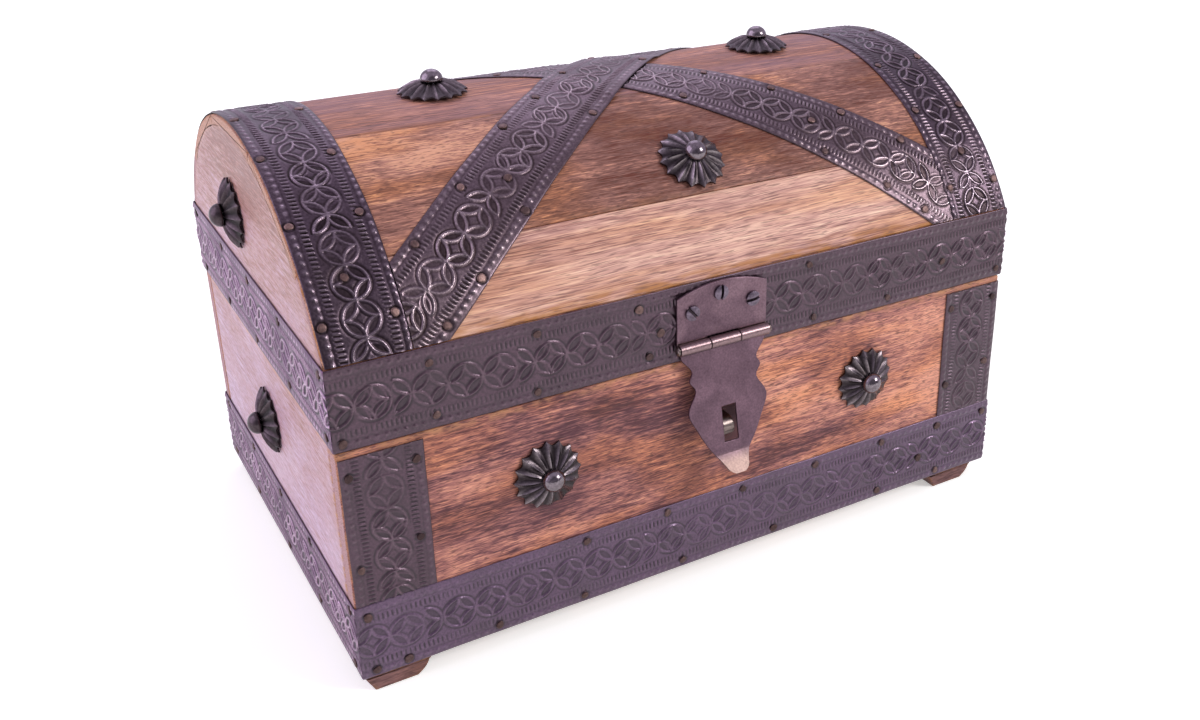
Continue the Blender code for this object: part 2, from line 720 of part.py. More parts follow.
def make_rosettes(boards):
    """Ten rosettes, each nailed through its cup into a pilot hole in the board behind it."""
    lid_end_z = SPRING_Z + LID_END_ROSETTE_RISE
    slope = SLOPE_ROSETTE_ARC / DOME_RADIUS

    def on_front(x):
        return (x, -DEPTH / 2, PANEL_MIDDLE_Z), (math.pi / 2, 0.0, 0.0)

    def on_end(side, y, z):
        return (side * LENGTH / 2, y, z), (0.0, side * math.pi / 2, 0.0)

    def on_dome(x, angle):
        height = DOME_Z + DOME_RADIUS * math.cos(angle)
        return (x, DOME_RADIUS * math.sin(angle), height), (-angle, 0.0, 0.0)

    places = {
        "front_left": ("front_board", on_front(FRONT_ROSETTE_SHIFT - FRONT_ROSETTE_X)),
        "front_right": ("front_board", on_front(FRONT_ROSETTE_SHIFT + FRONT_ROSETTE_X)),
        "left_end": ("left_end_board", on_end(-1, BODY_END_ROSETTE_Y, PANEL_MIDDLE_Z)),
        "right_end": ("right_end_board", on_end(1, BODY_END_ROSETTE_Y, PANEL_MIDDLE_Z)),
        "lid_left_end": ("lid_left_end", on_end(-1, LID_END_ROSETTE_Y, lid_end_z)),
        "lid_right_end": ("lid_right_end", on_end(1, LID_END_ROSETTE_Y, lid_end_z)),
        "lid_front": ("stave_front", on_dome(SLOPE_ROSETTE_X, -slope)),
        "lid_back": ("stave_back", on_dome(-SLOPE_ROSETTE_X, slope)),
        "ridge_left": ("stave_ridge", on_dome(RIDGE_ROSETTE_SHIFT - RIDGE_ROSETTE_X, 0.0)),
        "ridge_right": ("stave_ridge", on_dome(RIDGE_ROSETTE_SHIFT + RIDGE_ROSETTE_X, 0.0)),
    }
    cup = cup_mesh()
    nail = nail_mesh()
    pilot_radius = NAIL_SHANK + FIT
    pilot_profile = [(pilot_radius, -NAIL_BITE - FIT), (pilot_radius, CUP_HEIGHT)]
    pilot = turned("pilot", pilot_profile, NAIL_SIDES)
    for name, (board_name, (location, rotation)) in places.items():
        board = boards[board_name]
        body = board.parent
        add(f"rosette_{name}_cup", cup, "blackened_iron", body, location, rotation)
        add(f"rosette_{name}_nail", nail, "nail_steel", body, location, rotation, True)
        shape_with(board, cutter(f"pilot_{name}", pilot, body, location, rotation))


def make_hinges(chest, lid):
    """Two rolled hinges across the seam at the back, the lid leaf over the rim band."""
    half_width = HINGE_WIDTH / 2
    face = -HINGE_ROLL
    seat = face - STRIP_PROUD
    jog_top = -HINGE_BARREL - FIT
    body_run = [(seat, -HINGE_BODY_REACH), (seat, jog_top - HINGE_JOG), (face, jog_top)]
    body_path = rolled_path(body_run, HINGE_ROLL, -1)
    lid_path = rolled_path([(face, HINGE_LID_REACH)], HINGE_ROLL, 1)
    body_mesh = sheet_leaf("hinge_body_leaf", body_path, HINGE_SHEET, 1, half_width)
    lid_mesh = sheet_leaf("hinge_lid_leaf", lid_path, HINGE_SHEET, 1, half_width)
    for side, x in (("left", -HINGE_X), ("right", HINGE_X)):
        spot = HINGE_AXIS + Vector((x, 0.0, 0.0))
        body_leaf = add(f"hinge_{side}_body_leaf", body_mesh, "hasp_steel", chest, spot, smooth=True)
        cut_knuckles(body_leaf, HINGE_WIDTH, HINGE_KNUCKLES, 1, HINGE_BARREL, chest, spot)
        lid_leaf = add(f"hinge_{side}_lid_leaf", lid_mesh, "hasp_steel", lid, spot, smooth=True)
        cut_knuckles(lid_leaf, HINGE_WIDTH, HINGE_KNUCKLES, 0, HINGE_BARREL, lid, spot)
        barrel_pin(f"hinge_{side}_pin", HINGE_WIDTH, HINGE_BARREL, HINGE_SHEET, chest, spot)


def plate_outline():
    """Hasp plate seen from the front: straight sides under a low curved top."""
    half = HASP_PLATE_WIDTH / 2
    bend = (half ** 2 + HASP_PLATE_CROWN ** 2) / (2 * HASP_PLATE_CROWN)
    reach = math.asin(half / bend)
    crown = arc(0.0, HASP_PLATE_HEIGHT - bend, bend, reach, -reach, ROUND_SIDES // 2)
    low = -2 * HASP_BARREL
    return [(-half, low), (half, low)] + crown


def hasp_outline():
    """Swinging leaf seen from the front: notched shoulders, a full belly and a narrow tip."""
    edge = smooth_curve(HASP_HALF_WIDTHS, 4)
    top = 2 * HASP_BARREL
    right = [(width, -drop) for drop, width in edge]
    left = [(-width, -drop) for drop, width in reversed(edge)]
    return [(right[0][0], top)] + right + left + [(left[-1][0], top)]


def screw_spots():
    """Places of the three screws on the hasp plate, from the middle of its barrel."""
    side = HASP_PLATE_WIDTH / 2 - SCREW_INSET
    return {
        "left": (-side, SCREW_SIDE_RISE),
        "top": (SCREW_TOP_SHIFT, SCREW_TOP_RISE),
        "right": (side, SCREW_SIDE_RISE),
    }


def make_hasp_plate(lid, rim, rail):
    """Fixed half of the hasp, screwed through the rim band into the front rail."""
    run = [(-HASP_ROLL, HASP_PLATE_HEIGHT + HASP_PLATE_CROWN)]
    blank = sheet_leaf("hasp_plate", rolled_path(run, HASP_ROLL, 1), HASP_SHEET, -1, HASP_PLATE_WIDTH)
    plate = add("hasp_plate", blank, "hasp_steel", lid, HASP_AXIS, smooth=True)
    reach = 4 * HASP_BARREL
    template = prism("hasp_plate_outline", plate_outline(), "Y", -reach, reach)
    shape_with(plate, cutter("hasp_plate_outline", template, lid, HASP_AXIS), "INTERSECT")
    cut_knuckles(plate, HASP_PLATE_WIDTH, HASP_KNUCKLES, 1, HASP_BARREL, lid, HASP_AXIS)

    face = HASP_SEAT_Y - HASP_SHEET - FIT
    depth = SCREW_BITE + STRIP_PROUD + HASP_SHEET + 2 * FIT
    hole_radius = SCREW_SHANK + FIT
    profile = [(SCREW_SHANK, -depth), (SCREW_SHANK, 0.0)]
    profile += [(SCREW_HEAD_RADIUS * wide, SCREW_HEAD_HEIGHT * high) for wide, high in SCREW_CROWN]
    screw = turned("hasp_screw", profile)
    hole_profile = [(hole_radius, -depth - FIT), (hole_radius, SCREW_HEAD_RADIUS)]
    hole = turned("screw_hole", hole_profile, NAIL_SIDES)
    slot_low = (-2 * SCREW_HEAD_RADIUS, -SCREW_SLOT / 2, SCREW_HEAD_HEIGHT / 2)
    slot_high = (2 * SCREW_HEAD_RADIUS, SCREW_SLOT / 2, 2 * SCREW_HEAD_HEIGHT)
    slot = block("screw_slot", slot_low, slot_high)
    for name, (x, rise) in screw_spots().items():
        spot = (HASP_X + x, face, HASP_AXIS.z + rise)
        turn = (math.pi / 2, 0.0, 0.0)
        fastener = add(f"hasp_screw_{name}", screw, "nail_steel", lid, spot, turn, True)
        shape_with(fastener, cutter(f"screw_slot_{name}", slot, lid, spot, turn))
        drill = cutter(f"screw_hole_{name}", hole, lid, spot, turn)
        for drilled in (plate, rim, rail):
            shape_with(drilled, drill)
    barrel_pin("hasp_pin", HASP_PLATE_WIDTH, HASP_BARREL, HASP_SHEET, lid, HASP_AXIS)


def make_hasp_leaf(hasp):
    """Swinging half of the hasp, hung a little forward with its tip bent out."""
    length = HASP_HALF_WIDTHS[-1][0]
    knee = length - HASP_TIP_LENGTH
    over = HASP_TIP_LENGTH * 1.5
    tip = (-HASP_ROLL + over * math.sin(HASP_TIP_BEND), -knee - over * math.cos(HASP_TIP_BEND))
    run = [tip, (-HASP_ROLL, -knee)]
    widest = max(width for drop, width in HASP_HALF_WIDTHS)
    blank = sheet_leaf("hasp_leaf", rolled_path(run, HASP_ROLL, -1), HASP_SHEET, -1, 1.2 * widest)
    turn = (-HASP_LEAN, 0.0, 0.0)
    leaf = add("hasp_leaf", blank, "hasp_steel", hasp, HASP_AXIS, turn, True)
    reach = 6 * HASP_BARREL
    template = prism("hasp_outline", hasp_outline(), "Y", -reach, reach)
    shape_with(leaf, cutter("hasp_outline", template, hasp, HASP_AXIS, turn), "INTERSECT")
    cut_knuckles(leaf, HASP_PLATE_WIDTH, HASP_KNUCKLES, 0, HASP_BARREL, hasp, HASP_AXIS, turn)
    half = HASP_SLOT_WIDTH / 2
    low = (-half, -reach, -HASP_SLOT_DROP - HASP_SLOT_HEIGHT / 2)
    high = (half, reach, -HASP_SLOT_DROP + HASP_SLOT_HEIGHT / 2)
    shape_with(leaf, cutter("hasp_slot", block("hasp_slot", low, high), hasp, HASP_AXIS, turn))


def staple_reach():
    """Distance of the staple's tip from the front board: just behind the leaning leaf."""
    drop = HASP_AXIS.z - STAPLE_Z
    along = (drop - HASP_BARREL * math.sin(HASP_LEAN)) / math.cos(HASP_LEAN)
    leaf_back = along * math.sin(HASP_LEAN) - HASP_BARREL * math.cos(HASP_LEAN)
    return -HASP_AXIS.y + leaf_back - FIT - DEPTH / 2


def make_staple(chest, front_board):
    """Loop of strip driven into the front board, in line with the slot of the hasp."""
    middle = STAPLE_HEIGHT / 2 - STAPLE_SHEET / 2
    straight = staple_reach() - STAPLE_HEIGHT / 2
    path = [(-STAPLE_BITE, -middle)]
    for step in range(ROUND_SIDES // 2 + 1):
        angle = math.pi * step / (ROUND_SIDES // 2)
        path.append((straight + middle * math.sin(angle), -middle * math.cos(angle)))
    path.append((-STAPLE_BITE, middle))
    spot = (HASP_X, -DEPTH / 2, STAPLE_Z)
    loop = sheet_leaf("hasp_staple", path, STAPLE_SHEET, -1, STAPLE_WIDTH / 2)
    add("hasp_staple", loop, "hasp_steel", chest, spot, smooth=True)
    half_x = STAPLE_WIDTH / 2 + FIT
    half_z = STAPLE_SHEET / 2 + FIT
    for name, height in (("lower", -middle), ("upper", middle)):
        low = (-half_x, -FIT, height - half_z)
        high = (half_x, STAPLE_BITE + FIT, height + half_z)
        shape_with(front_board, cutter(f"mortise_{name}", block("mortise", low, high), chest, spot))


def centre_over_origin(chest):
    """Move the whole chest so that the box round it stands with its middle on the origin."""
    bpy.context.view_layer.update()
    graph = bpy.context.evaluated_depsgraph_get()
    reaches = []
    for obj in bpy.context.scene.objects:
        if obj.type == "MESH" and not obj.hide_render:
            shown = obj.evaluated_get(graph)
            reaches += [(shown.matrix_world @ Vector(corner)).y for corner in shown.bound_box]
    chest.location.y -= (min(reaches) + max(reaches)) / 2
    bpy.context.view_layer.update()


def main():
    clear_scene()
    chest = pivot("chest_carrier", (0.0, 0.0, 0.0))
    lid = pivot("lid_pivot", HINGE_AXIS, chest)
    hasp = pivot("hasp_pivot", HASP_AXIS, lid)
    boards = make_boards(chest)
    make_feet(chest)
    make_body_bands(chest)
    frame = make_lid_frame(lid)
    staves = make_staves(lid)
    rim = make_lid_bands(lid)
    cross_strap("cross_strap_upper", 1, True, lid)
    cross_strap("cross_strap_lower", -1, False, lid)
    make_rosettes({**boards, **frame, **staves})
    make_hinges(chest, lid)
    make_hasp_plate(lid, rim, frame["lid_front_rail"])
    make_hasp_leaf(hasp)
    make_staple(chest, boards["front_board"])
    centre_over_origin(chest)


main()
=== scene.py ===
"""Looks of the iron-bound treasure chest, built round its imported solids.

The boards and staves get worn arrises and stained, open-pored wood. The iron strips get their
stamped relief and their nails, the rosettes their fine flutes, and the hasp, staple and hinges
their rounded sheet edges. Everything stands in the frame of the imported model, in metres.
"""

import logging
import math
from dataclasses import dataclass, field
from enum import Enum
from typing import Any, Sequence

import bmesh
import bpy
import numpy as np
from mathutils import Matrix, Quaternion, Vector


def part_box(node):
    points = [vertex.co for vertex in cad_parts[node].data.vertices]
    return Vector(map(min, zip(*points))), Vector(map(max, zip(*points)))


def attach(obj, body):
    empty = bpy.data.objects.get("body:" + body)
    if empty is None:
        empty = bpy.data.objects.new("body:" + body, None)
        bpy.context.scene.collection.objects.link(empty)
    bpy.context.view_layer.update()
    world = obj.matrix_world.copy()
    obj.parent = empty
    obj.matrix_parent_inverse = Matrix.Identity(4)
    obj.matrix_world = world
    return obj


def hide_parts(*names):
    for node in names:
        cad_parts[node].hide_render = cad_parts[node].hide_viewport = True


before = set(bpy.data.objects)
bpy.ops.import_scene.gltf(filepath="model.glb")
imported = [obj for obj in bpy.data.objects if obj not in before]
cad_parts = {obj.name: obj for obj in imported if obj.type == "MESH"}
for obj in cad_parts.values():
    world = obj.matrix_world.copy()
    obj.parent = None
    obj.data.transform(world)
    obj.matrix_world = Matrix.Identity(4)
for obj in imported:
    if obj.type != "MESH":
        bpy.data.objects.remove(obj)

LOG = logging.getLogger("treasure_chest")
MM = 0.001
PHOTO_WIDTH = 1200.0
PHOTO_HEIGHT = 720.0
OUTER_POINTS = 24             # along the outer face of a stave's outline
INNER_POINTS = 16             # along its inner face
PRESSES = 97                  # uneven strokes of the hand before they repeat

Array = np.ndarray
Spots = Sequence[tuple[float, float]]


def linear(colour: str) -> tuple[float, float, float, float]:
    """Turn an sRGB hex colour into linear red, green, blue and alpha.

    Args:
        colour: six hex digits after a hash sign.

    Returns:
        The linear colour: each channel is ((c + 0.055) / 1.055) ** 2.4 above the toe.
    """
    parts = np.array([int(colour[i:i + 2], 16) for i in (1, 3, 5)]) / 255.0
    toe = parts / 12.92
    curve = ((parts + 0.055) / 1.055) ** 2.4
    red, green, blue = np.where(parts <= 0.04045, toe, curve)
    return float(red), float(green), float(blue), 1.0


def add_node(tree: bpy.types.NodeTree, kind: str, inputs: dict[Any, Any] | None = None,
             **settings: Any) -> bpy.types.Node:
    """Add a shader node, set it and link it.

    Args:
        tree: node tree to add to.
        kind: Blender's name of the node type.
        inputs: input name or number to a value or to the socket that feeds it.
        settings: the node's own properties.

    Returns:
        The new node.
    """
    node = tree.nodes.new(kind)
    for name, value in settings.items():
        setattr(node, name, value)
    for key, value in (inputs or {}).items():
        if isinstance(value, bpy.types.NodeSocket):
            tree.links.new(value, node.inputs[key])
        else:
            node.inputs[key].default_value = value
    return node


def new_material(name: str) -> tuple[bpy.types.Material, bpy.types.NodeTree, Any]:
    """Start a material.

    Args:
        name: name of the material.

    Returns:
        The material, its node tree and the inputs of its shader.
    """
    made = bpy.data.materials.new(name)
    made.use_nodes = True
    return made, made.node_tree, made.node_tree.nodes["Principled BSDF"].inputs


def put_in_scene(name: str, data: bpy.types.ID) -> bpy.types.Object:
    """Put a mesh, a lamp or a camera into the scene.

    Args:
        name: name of the object.
        data: what it holds.

    Returns:
        The new object, at the origin.
    """
    thing = bpy.data.objects.new(name, data)
    bpy.context.scene.collection.objects.link(thing)
    return thing


def smooth_step(value: Array) -> Array:
    """Ease from 0 to 1 by 3v^2 - 2v^3, with v held between 0 and 1.

    Args:
        value: how far along the step.

    Returns:
        The eased share, of the same shape.
    """
    held = np.clip(value, 0.0, 1.0)
    return held * held * (3.0 - 2.0 * held)


def drift(along: Array, seed: int, waves: Sequence[float]) -> Array:
    """Slow wander of a hand-made line: a mean of sines with seeded phases.

    Args:
        along: distance along the line, in millimetres.
        seed: seed of the phases.
        waves: wavelengths in millimetres.

    Returns:
        Values between -1 and 1.
    """
    phases = np.random.default_rng(seed).uniform(0.0, 2.0 * np.pi, len(waves))
    return sum(np.sin(2.0 * np.pi * along / wave + phase) for wave, phase in zip(waves, phases)) / len(waves)


def grid_quads(rows: int, columns: int, start: int = 0, close_columns: bool = False,
               close_rows: bool = False) -> Array:
    """Quads of a grid whose points are numbered row by row.

    The normal of a quad is the step along the rows crossed with the step along the columns.

    Args:
        rows: number of rows.
        columns: number of columns.
        start: number of the first point.
        close_columns: join the last column to the first.
        close_rows: join the last row to the first.

    Returns:
        Array of point numbers, four to a quad.
    """
    row = np.arange(rows if close_rows else rows - 1)[:, None]
    column = np.arange(columns if close_columns else columns - 1)[None, :]
    row_after = (row + 1) % rows
    column_after = (column + 1) % columns
    corners = [row * columns + column, row_after * columns + column,
               row_after * columns + column_after, row * columns + column_after]
    return np.stack(corners, axis=-1).reshape(-1, 4) + start


def new_mesh(name: str, points: Array, quads: Array, caps: Sequence[Array] = (),
             attributes: dict[str, Array] | None = None, sharp: float = 40.0) -> bpy.types.Mesh:
    """Make a mesh from whole arrays.

    Args:
        name: name of the mesh.
        points: positions, any shape that ends in 3.
        quads: point numbers, four to a face.
        caps: further faces with any number of corners.
        attributes: name to one value per point.
        sharp: edges that turn by more than this many degrees stay sharp.

    Returns:
        The mesh, shaded smooth between its sharp edges.
    """
    places = np.asarray(points, np.float32).reshape(-1, 3)
    corners = np.concatenate([quads.ravel(), *[np.asarray(cap) for cap in caps]]).astype(np.int32)
    totals = np.concatenate([np.full(len(quads), 4), np.array([len(cap) for cap in caps], int)])
    starts = np.concatenate([[0], np.cumsum(totals)[:-1]]).astype(np.int32)
    mesh = bpy.data.meshes.new(name)
    mesh.vertices.add(len(places))
    mesh.vertices.foreach_set("co", places.ravel())
    mesh.loops.add(len(corners))
    mesh.loops.foreach_set("vertex_index", corners)
    mesh.polygons.add(len(totals))
    mesh.polygons.foreach_set("loop_start", starts)
    mesh.update(calc_edges=True)
    for key, values in (attributes or {}).items():
        layer = mesh.attributes.new(key, "FLOAT", "POINT")
        layer.data.foreach_set("value", np.asarray(values, np.float32).ravel())
    mesh.shade_smooth()
    mesh.set_sharp_from_angle(angle=math.radians(sharp))
    return mesh


def show(name: str, mesh: bpy.types.Mesh, finish: bpy.types.Material, body: str,
         nodes: Sequence[str] = ()) -> bpy.types.Object:
    """Put a piece of the chest in place.

    Args:
        name: name of the piece.
        mesh: its mesh, in the frame of the chest.
        finish: its material.
        body: the body that it moves with.
        nodes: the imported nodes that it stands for.

    Returns:
        The new object.
    """
    mesh.materials.clear()
    mesh.materials.append(finish)
    piece = put_in_scene(name, mesh)
    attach(piece, body)
    if nodes:
        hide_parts(*nodes)
    LOG.info("%s: %d faces on %s", name, len(mesh.polygons), body)
    return piece


class Grain(Enum):
    """Direction of the wood fibres, as the axis along which patterns are drawn out."""

    ALONG_X = 0
    ALONG_Y = 1

    def stretch(self, along: float, across: float) -> tuple[float, float, float]:
        """Scale of a pattern that is drawn out along the fibres.

        Args:
            along: its length along the fibres, in millimetres.
            across: its width across them, in millimetres.

        Returns:
            One over the size along each axis, in metres.
        """
        scales = [1.0 / (across * MM)] * 3
        scales[self.value] = 1.0 / (along * MM)
        return tuple(scales)


@dataclass(frozen=True)
class StainAndPaintedLightPatch:
    """A soft patch where the stain took more, or less where depth is below 0. Some patches are not stain but painted
    shade, and one is painted light. Sizes in millimetres.
    """

    x: float
    z: float
    half_x: float
    half_z: float
    depth: float


@dataclass(frozen=True)
class StainedWood:
    """Open-pored hardwood, stained, rubbed and waxed.

    The eye sees soft clouds of stain, a flamed figure, thin streaks, short dark flecks where the
    pores take the stain, and raw orange wood where the arrises have been rubbed through. The five
    tones run from the darkest to the palest and are laid over a bell curve, so that the middle
    one covers most and the outer two little. Real pores are about 0.2 mm wide and are drawn more
    than twice as wide, so that they show.
    """

    name: str
    tones: tuple[str, str, str, str, str]
    fleck: str = "#4a3033"
    raw: str = "#b57f5e"
    cut: str | None = "#b38d8e"
    grain: Grain = Grain.ALONG_X
    roughness: float = 0.5
    gloss: float = 0.3
    shift: tuple[float, float, float] = (0.0, 0.0, 0.0)
    length: float = 1.0
    figure: float = 0.65
    clouds: float = 1.2
    streaks: float = 0.6
    fibres: float = 0.95
    flecks: float = 0.6
    spread: float = 0.19
    amber: float = 0.8
    calm: float = 0.35
    stains_and_painted_light: tuple[StainAndPaintedLightPatch, ...] = ()
    sheen: float = 0.0

    def material(self) -> bpy.types.Material:
        """Make the material.

        Each layer is a noise drawn out along fibres that waver by a few millimetres: figure
        18 x 1.6 mm, streaks 13 x 0.7 mm, fibres 4.6 x 0.44 mm, flecks 3.2 x 0.48 mm and clouds of
        stain 46 x 16 mm, all longer in straight-grained boards. The tone is 0.5 and the weighted
        swing of the layers about their mean, and the patches add their own depth: some are stain,
        others painted shade and painted light. A second channel of the clouds' noise warms the
        colour to amber in places, and a third calms the figure and the streaks in others.

        Returns:
            The material.
        """
        made, tree, sockets = new_material(self.name)
        sockets["Specular IOR Level"].default_value = self.gloss
        sockets["Sheen Weight"].default_value = self.sheen
        sockets["Sheen Tint"].default_value = linear("#d9bfe2")
        place = add_node(tree, "ShaderNodeTexCoord").outputs["Object"]
        moved = add_node(tree, "ShaderNodeVectorMath", {0: place, 1: self.shift}, operation="ADD").outputs[0]
        waver = add_node(tree, "ShaderNodeVectorMath", {0: moved, 1: self.grain.stretch(70.0, 45.0)},
                         operation="MULTIPLY").outputs[0]
        swing = add_node(tree, "ShaderNodeTexNoise", {"Vector": waver, "Scale": 1.0, "Detail": 2.0}).outputs[1]
        moved = add_node(tree, "ShaderNodeVectorMath", {0: swing, 1: (3.0 * MM,) * 3, 2: moved},
                         operation="MULTIPLY_ADD").outputs[0]
        sizes = {"figure": (18.0, 1.6, 4.0), "streak": (13.0, 0.7, 3.0), "fleck": (3.2, 0.48, 1.0),
                 "fibre": (4.6, 0.44, 2.0), "cloud": (46.0, 16.0, 5.0), "rub": (5.0, 2.5, 3.0)}
        layer, hues = {}, {}
        for key, (along, across, detail) in sizes.items():
            drawn = self.grain.stretch(along * self.length, across)
            scaled = add_node(tree, "ShaderNodeVectorMath", {0: moved, 1: drawn}, operation="MULTIPLY")
            noise = add_node(tree, "ShaderNodeTexNoise", {"Vector": scaled.outputs[0], "Scale": 1.0,
                                                          "Detail": detail, "Distortion": 0.15})
            layer[key], hues[key] = noise.outputs
        weights = {"figure": self.figure, "cloud": self.clouds, "streak": self.streaks, "fibre": self.fibres}
        other = add_node(tree, "ShaderNodeSeparateColor", {0: hues["cloud"]}).outputs
        lively = add_node(tree, "ShaderNodeMapRange", {0: other[2], 1: 0.42, 2: 0.58, 3: self.calm,
                                                       4: 1.25}).outputs[0]
        tone: Any = 0.5
        for key, weight in weights.items():
            swing = add_node(tree, "ShaderNodeMath", {0: layer[key], 1: 0.5}, operation="SUBTRACT").outputs[0]
            if key in ("figure", "streak"):
                swing = add_node(tree, "ShaderNodeMath", {0: swing, 1: lively}, operation="MULTIPLY").outputs[0]
            tone = add_node(tree, "ShaderNodeMath", {0: swing, 1: weight, 2: tone},
                            operation="MULTIPLY_ADD").outputs[0]
        # Patches of stain, and patches of painted shade and painted light, darken or lighten the tone by their depth.
        for stain in self.stains_and_painted_light:
            scale = (1.0 / (stain.half_x * MM), 0.0, 1.0 / (stain.half_z * MM))
            middle = (-stain.x / stain.half_x, 0.0, -stain.z / stain.half_z)
            patch = add_node(tree, "ShaderNodeVectorMath", {0: place, 1: scale, 2: middle}, operation="MULTIPLY_ADD")
            away = add_node(tree, "ShaderNodeVectorMath", {0: patch.outputs[0]}, operation="LENGTH").outputs[1]
            soft = add_node(tree, "ShaderNodeMapRange", {0: away, 1: 0.0, 2: 1.0, 3: -stain.depth, 4: 0.0},
                            interpolation_type="SMOOTHSTEP").outputs[0]
            tone = add_node(tree, "ShaderNodeMath", {0: tone, 1: soft}, operation="ADD").outputs[0]
        ramp = add_node(tree, "ShaderNodeValToRGB", {0: tone})
        stops = ramp.color_ramp.elements
        while len(stops) < len(self.tones):
            stops.new(0.5)
        for stop, score, tint in zip(stops, (-1.88, -1.04, 0.0, 1.04, 1.88), self.tones):
            stop.position = 0.5 + score * self.spread
            stop.color = linear(tint)
        worn = add_node(tree, "ShaderNodeAttribute", attribute_name="wear").outputs["Fac"]
        rub = add_node(tree, "ShaderNodeMapRange", {0: layer["rub"], 1: 0.38, 2: 0.62}).outputs[0]
        bare = add_node(tree, "ShaderNodeMath", {0: worn, 1: rub}, operation="MULTIPLY").outputs[0]
        pore = add_node(tree, "ShaderNodeMapRange", {0: layer["fleck"], 1: 0.55, 2: 0.66, 4: self.flecks},
                        interpolation_type="SMOOTHSTEP").outputs[0]
        warm = add_node(tree, "ShaderNodeMapRange", {0: other[1], 1: 0.42, 2: 0.64, 4: self.amber},
                        interpolation_type="SMOOTHSTEP").outputs[0]
        colour = add_node(tree, "ShaderNodeMix", {0: warm, 6: ramp.outputs[0], 7: linear("#fff0cf")}, data_type="RGBA",
                          blend_type="MULTIPLY").outputs[2]
        cut = add_node(tree, "ShaderNodeAttribute", attribute_name="cut").outputs["Fac"]
        end_grain = add_node(tree, "ShaderNodeMath", {0: cut, 1: 0.9 if self.cut else 0.0},
                             operation="MULTIPLY").outputs[0]
        for share, tint in ((end_grain, self.cut or self.raw), (bare, self.raw), (pore, self.fleck)):
            colour = add_node(tree, "ShaderNodeMix", {0: share, 6: colour, 7: linear(tint)},
                              data_type="RGBA").outputs[2]
        tree.links.new(colour, sockets["Base Color"])
        rough = add_node(tree, "ShaderNodeMapRange", {0: layer["streak"], 1: 0.4, 2: 0.65, 3: self.roughness + 0.14,
                                                      4: self.roughness})
        tree.links.new(rough.outputs[0], sockets["Roughness"])
        relief = add_node(tree, "ShaderNodeMath", {0: layer["streak"], 1: pore}, operation="SUBTRACT")
        bump = add_node(tree, "ShaderNodeBump", {"Height": relief.outputs[0], "Strength": 0.4, "Distance": 0.1 * MM})
        tree.links.new(bump.outputs[0], sockets["Normal"])
        return made


@dataclass(frozen=True)
class BlackenedIron:
    """Sheet iron, stamped cold, blackened and waxed.

    Ridges are rubbed to a lighter grey, and the sheet has a fine tooth that breaks up its gloss.
    Where the relief is low the colour goes dark: brown-black scale in the hollows, and painted
    shade in the grooves beside the ridges and in the dent round each nail.
    """

    name: str
    ridge: str = "#5b4651"
    ground: str = "#493340"
    recess: str = "#231920"
    rust: str = "#3f2e37"
    roughness: float = 0.42
    polish: float = 0.12
    wax: float = 0.0
    mottle: float = 0.3
    hollow: float = 0.0
    metallic: float = 0.9

    def material(self) -> bpy.types.Material:
        """Make the material: colour by relief, stains of 18 mm, a mottle of 0.9 mm and a tooth of 0.5 mm.

        A rolled sheet's tooth is finer than that and is drawn as coarse as it needs to show.

        Returns:
            The material.
        """
        made, tree, sockets = new_material(self.name)
        sockets["Metallic"].default_value = self.metallic
        sockets["Coat Weight"].default_value = self.wax
        sockets["Coat Roughness"].default_value = 0.34
        sockets["Coat IOR"].default_value = 1.6
        place = add_node(tree, "ShaderNodeTexCoord").outputs["Object"]
        noise = {}
        for key, (size, detail) in {"stain": (18.0, 4.0), "speck": (0.9, 3.0), "tooth": (0.5, 2.0)}.items():
            noise[key] = add_node(tree, "ShaderNodeTexNoise", {"Vector": place, "Scale": 1.0 / (size * MM),
                                                               "Detail": detail}).outputs[0]
        relief = add_node(tree, "ShaderNodeAttribute", attribute_name="relief").outputs["Fac"]
        # Low relief takes the recess colour: scale in the hollows, painted shade in the grooves and nail dents.
        low = add_node(tree, "ShaderNodeMapRange", {0: relief, 1: self.hollow, 2: 0.3}).outputs[0]
        high = add_node(tree, "ShaderNodeMapRange", {0: relief, 1: 0.35, 2: 1.0}).outputs[0]
        stain = add_node(tree, "ShaderNodeMapRange", {0: noise["stain"], 1: 0.45, 2: 0.7, 4: 0.6}).outputs[0]
        mottle = add_node(tree, "ShaderNodeMapRange", {0: noise["speck"], 1: 0.3, 2: 0.7, 3: 1.0 - self.mottle,
                                                       4: 1.0 + self.mottle}).outputs[0]
        colour = add_node(tree, "ShaderNodeMix", {0: low, 6: linear(self.recess), 7: linear(self.ground)},
                          data_type="RGBA").outputs[2]
        for share, tint in ((high, self.ridge), (stain, self.rust)):
            colour = add_node(tree, "ShaderNodeMix", {0: share, 6: colour, 7: linear(tint)},
                              data_type="RGBA").outputs[2]
        colour = add_node(tree, "ShaderNodeVectorMath", {0: colour, 1: mottle}, operation="MULTIPLY").outputs[0]
        tree.links.new(colour, sockets["Base Color"])
        gloss = add_node(tree, "ShaderNodeMath", {0: stain, 1: high}, operation="SUBTRACT").outputs[0]
        rough = add_node(tree, "ShaderNodeMath", {0: gloss, 1: self.polish, 2: self.roughness},
                         operation="MULTIPLY_ADD").outputs[0]
        tree.links.new(rough, sockets["Roughness"])
        bump = add_node(tree, "ShaderNodeBump", {"Height": noise["tooth"], "Strength": 0.5, "Distance": 0.06 * MM})
        tree.links.new(bump.outputs[0], sockets["Normal"])
        return made


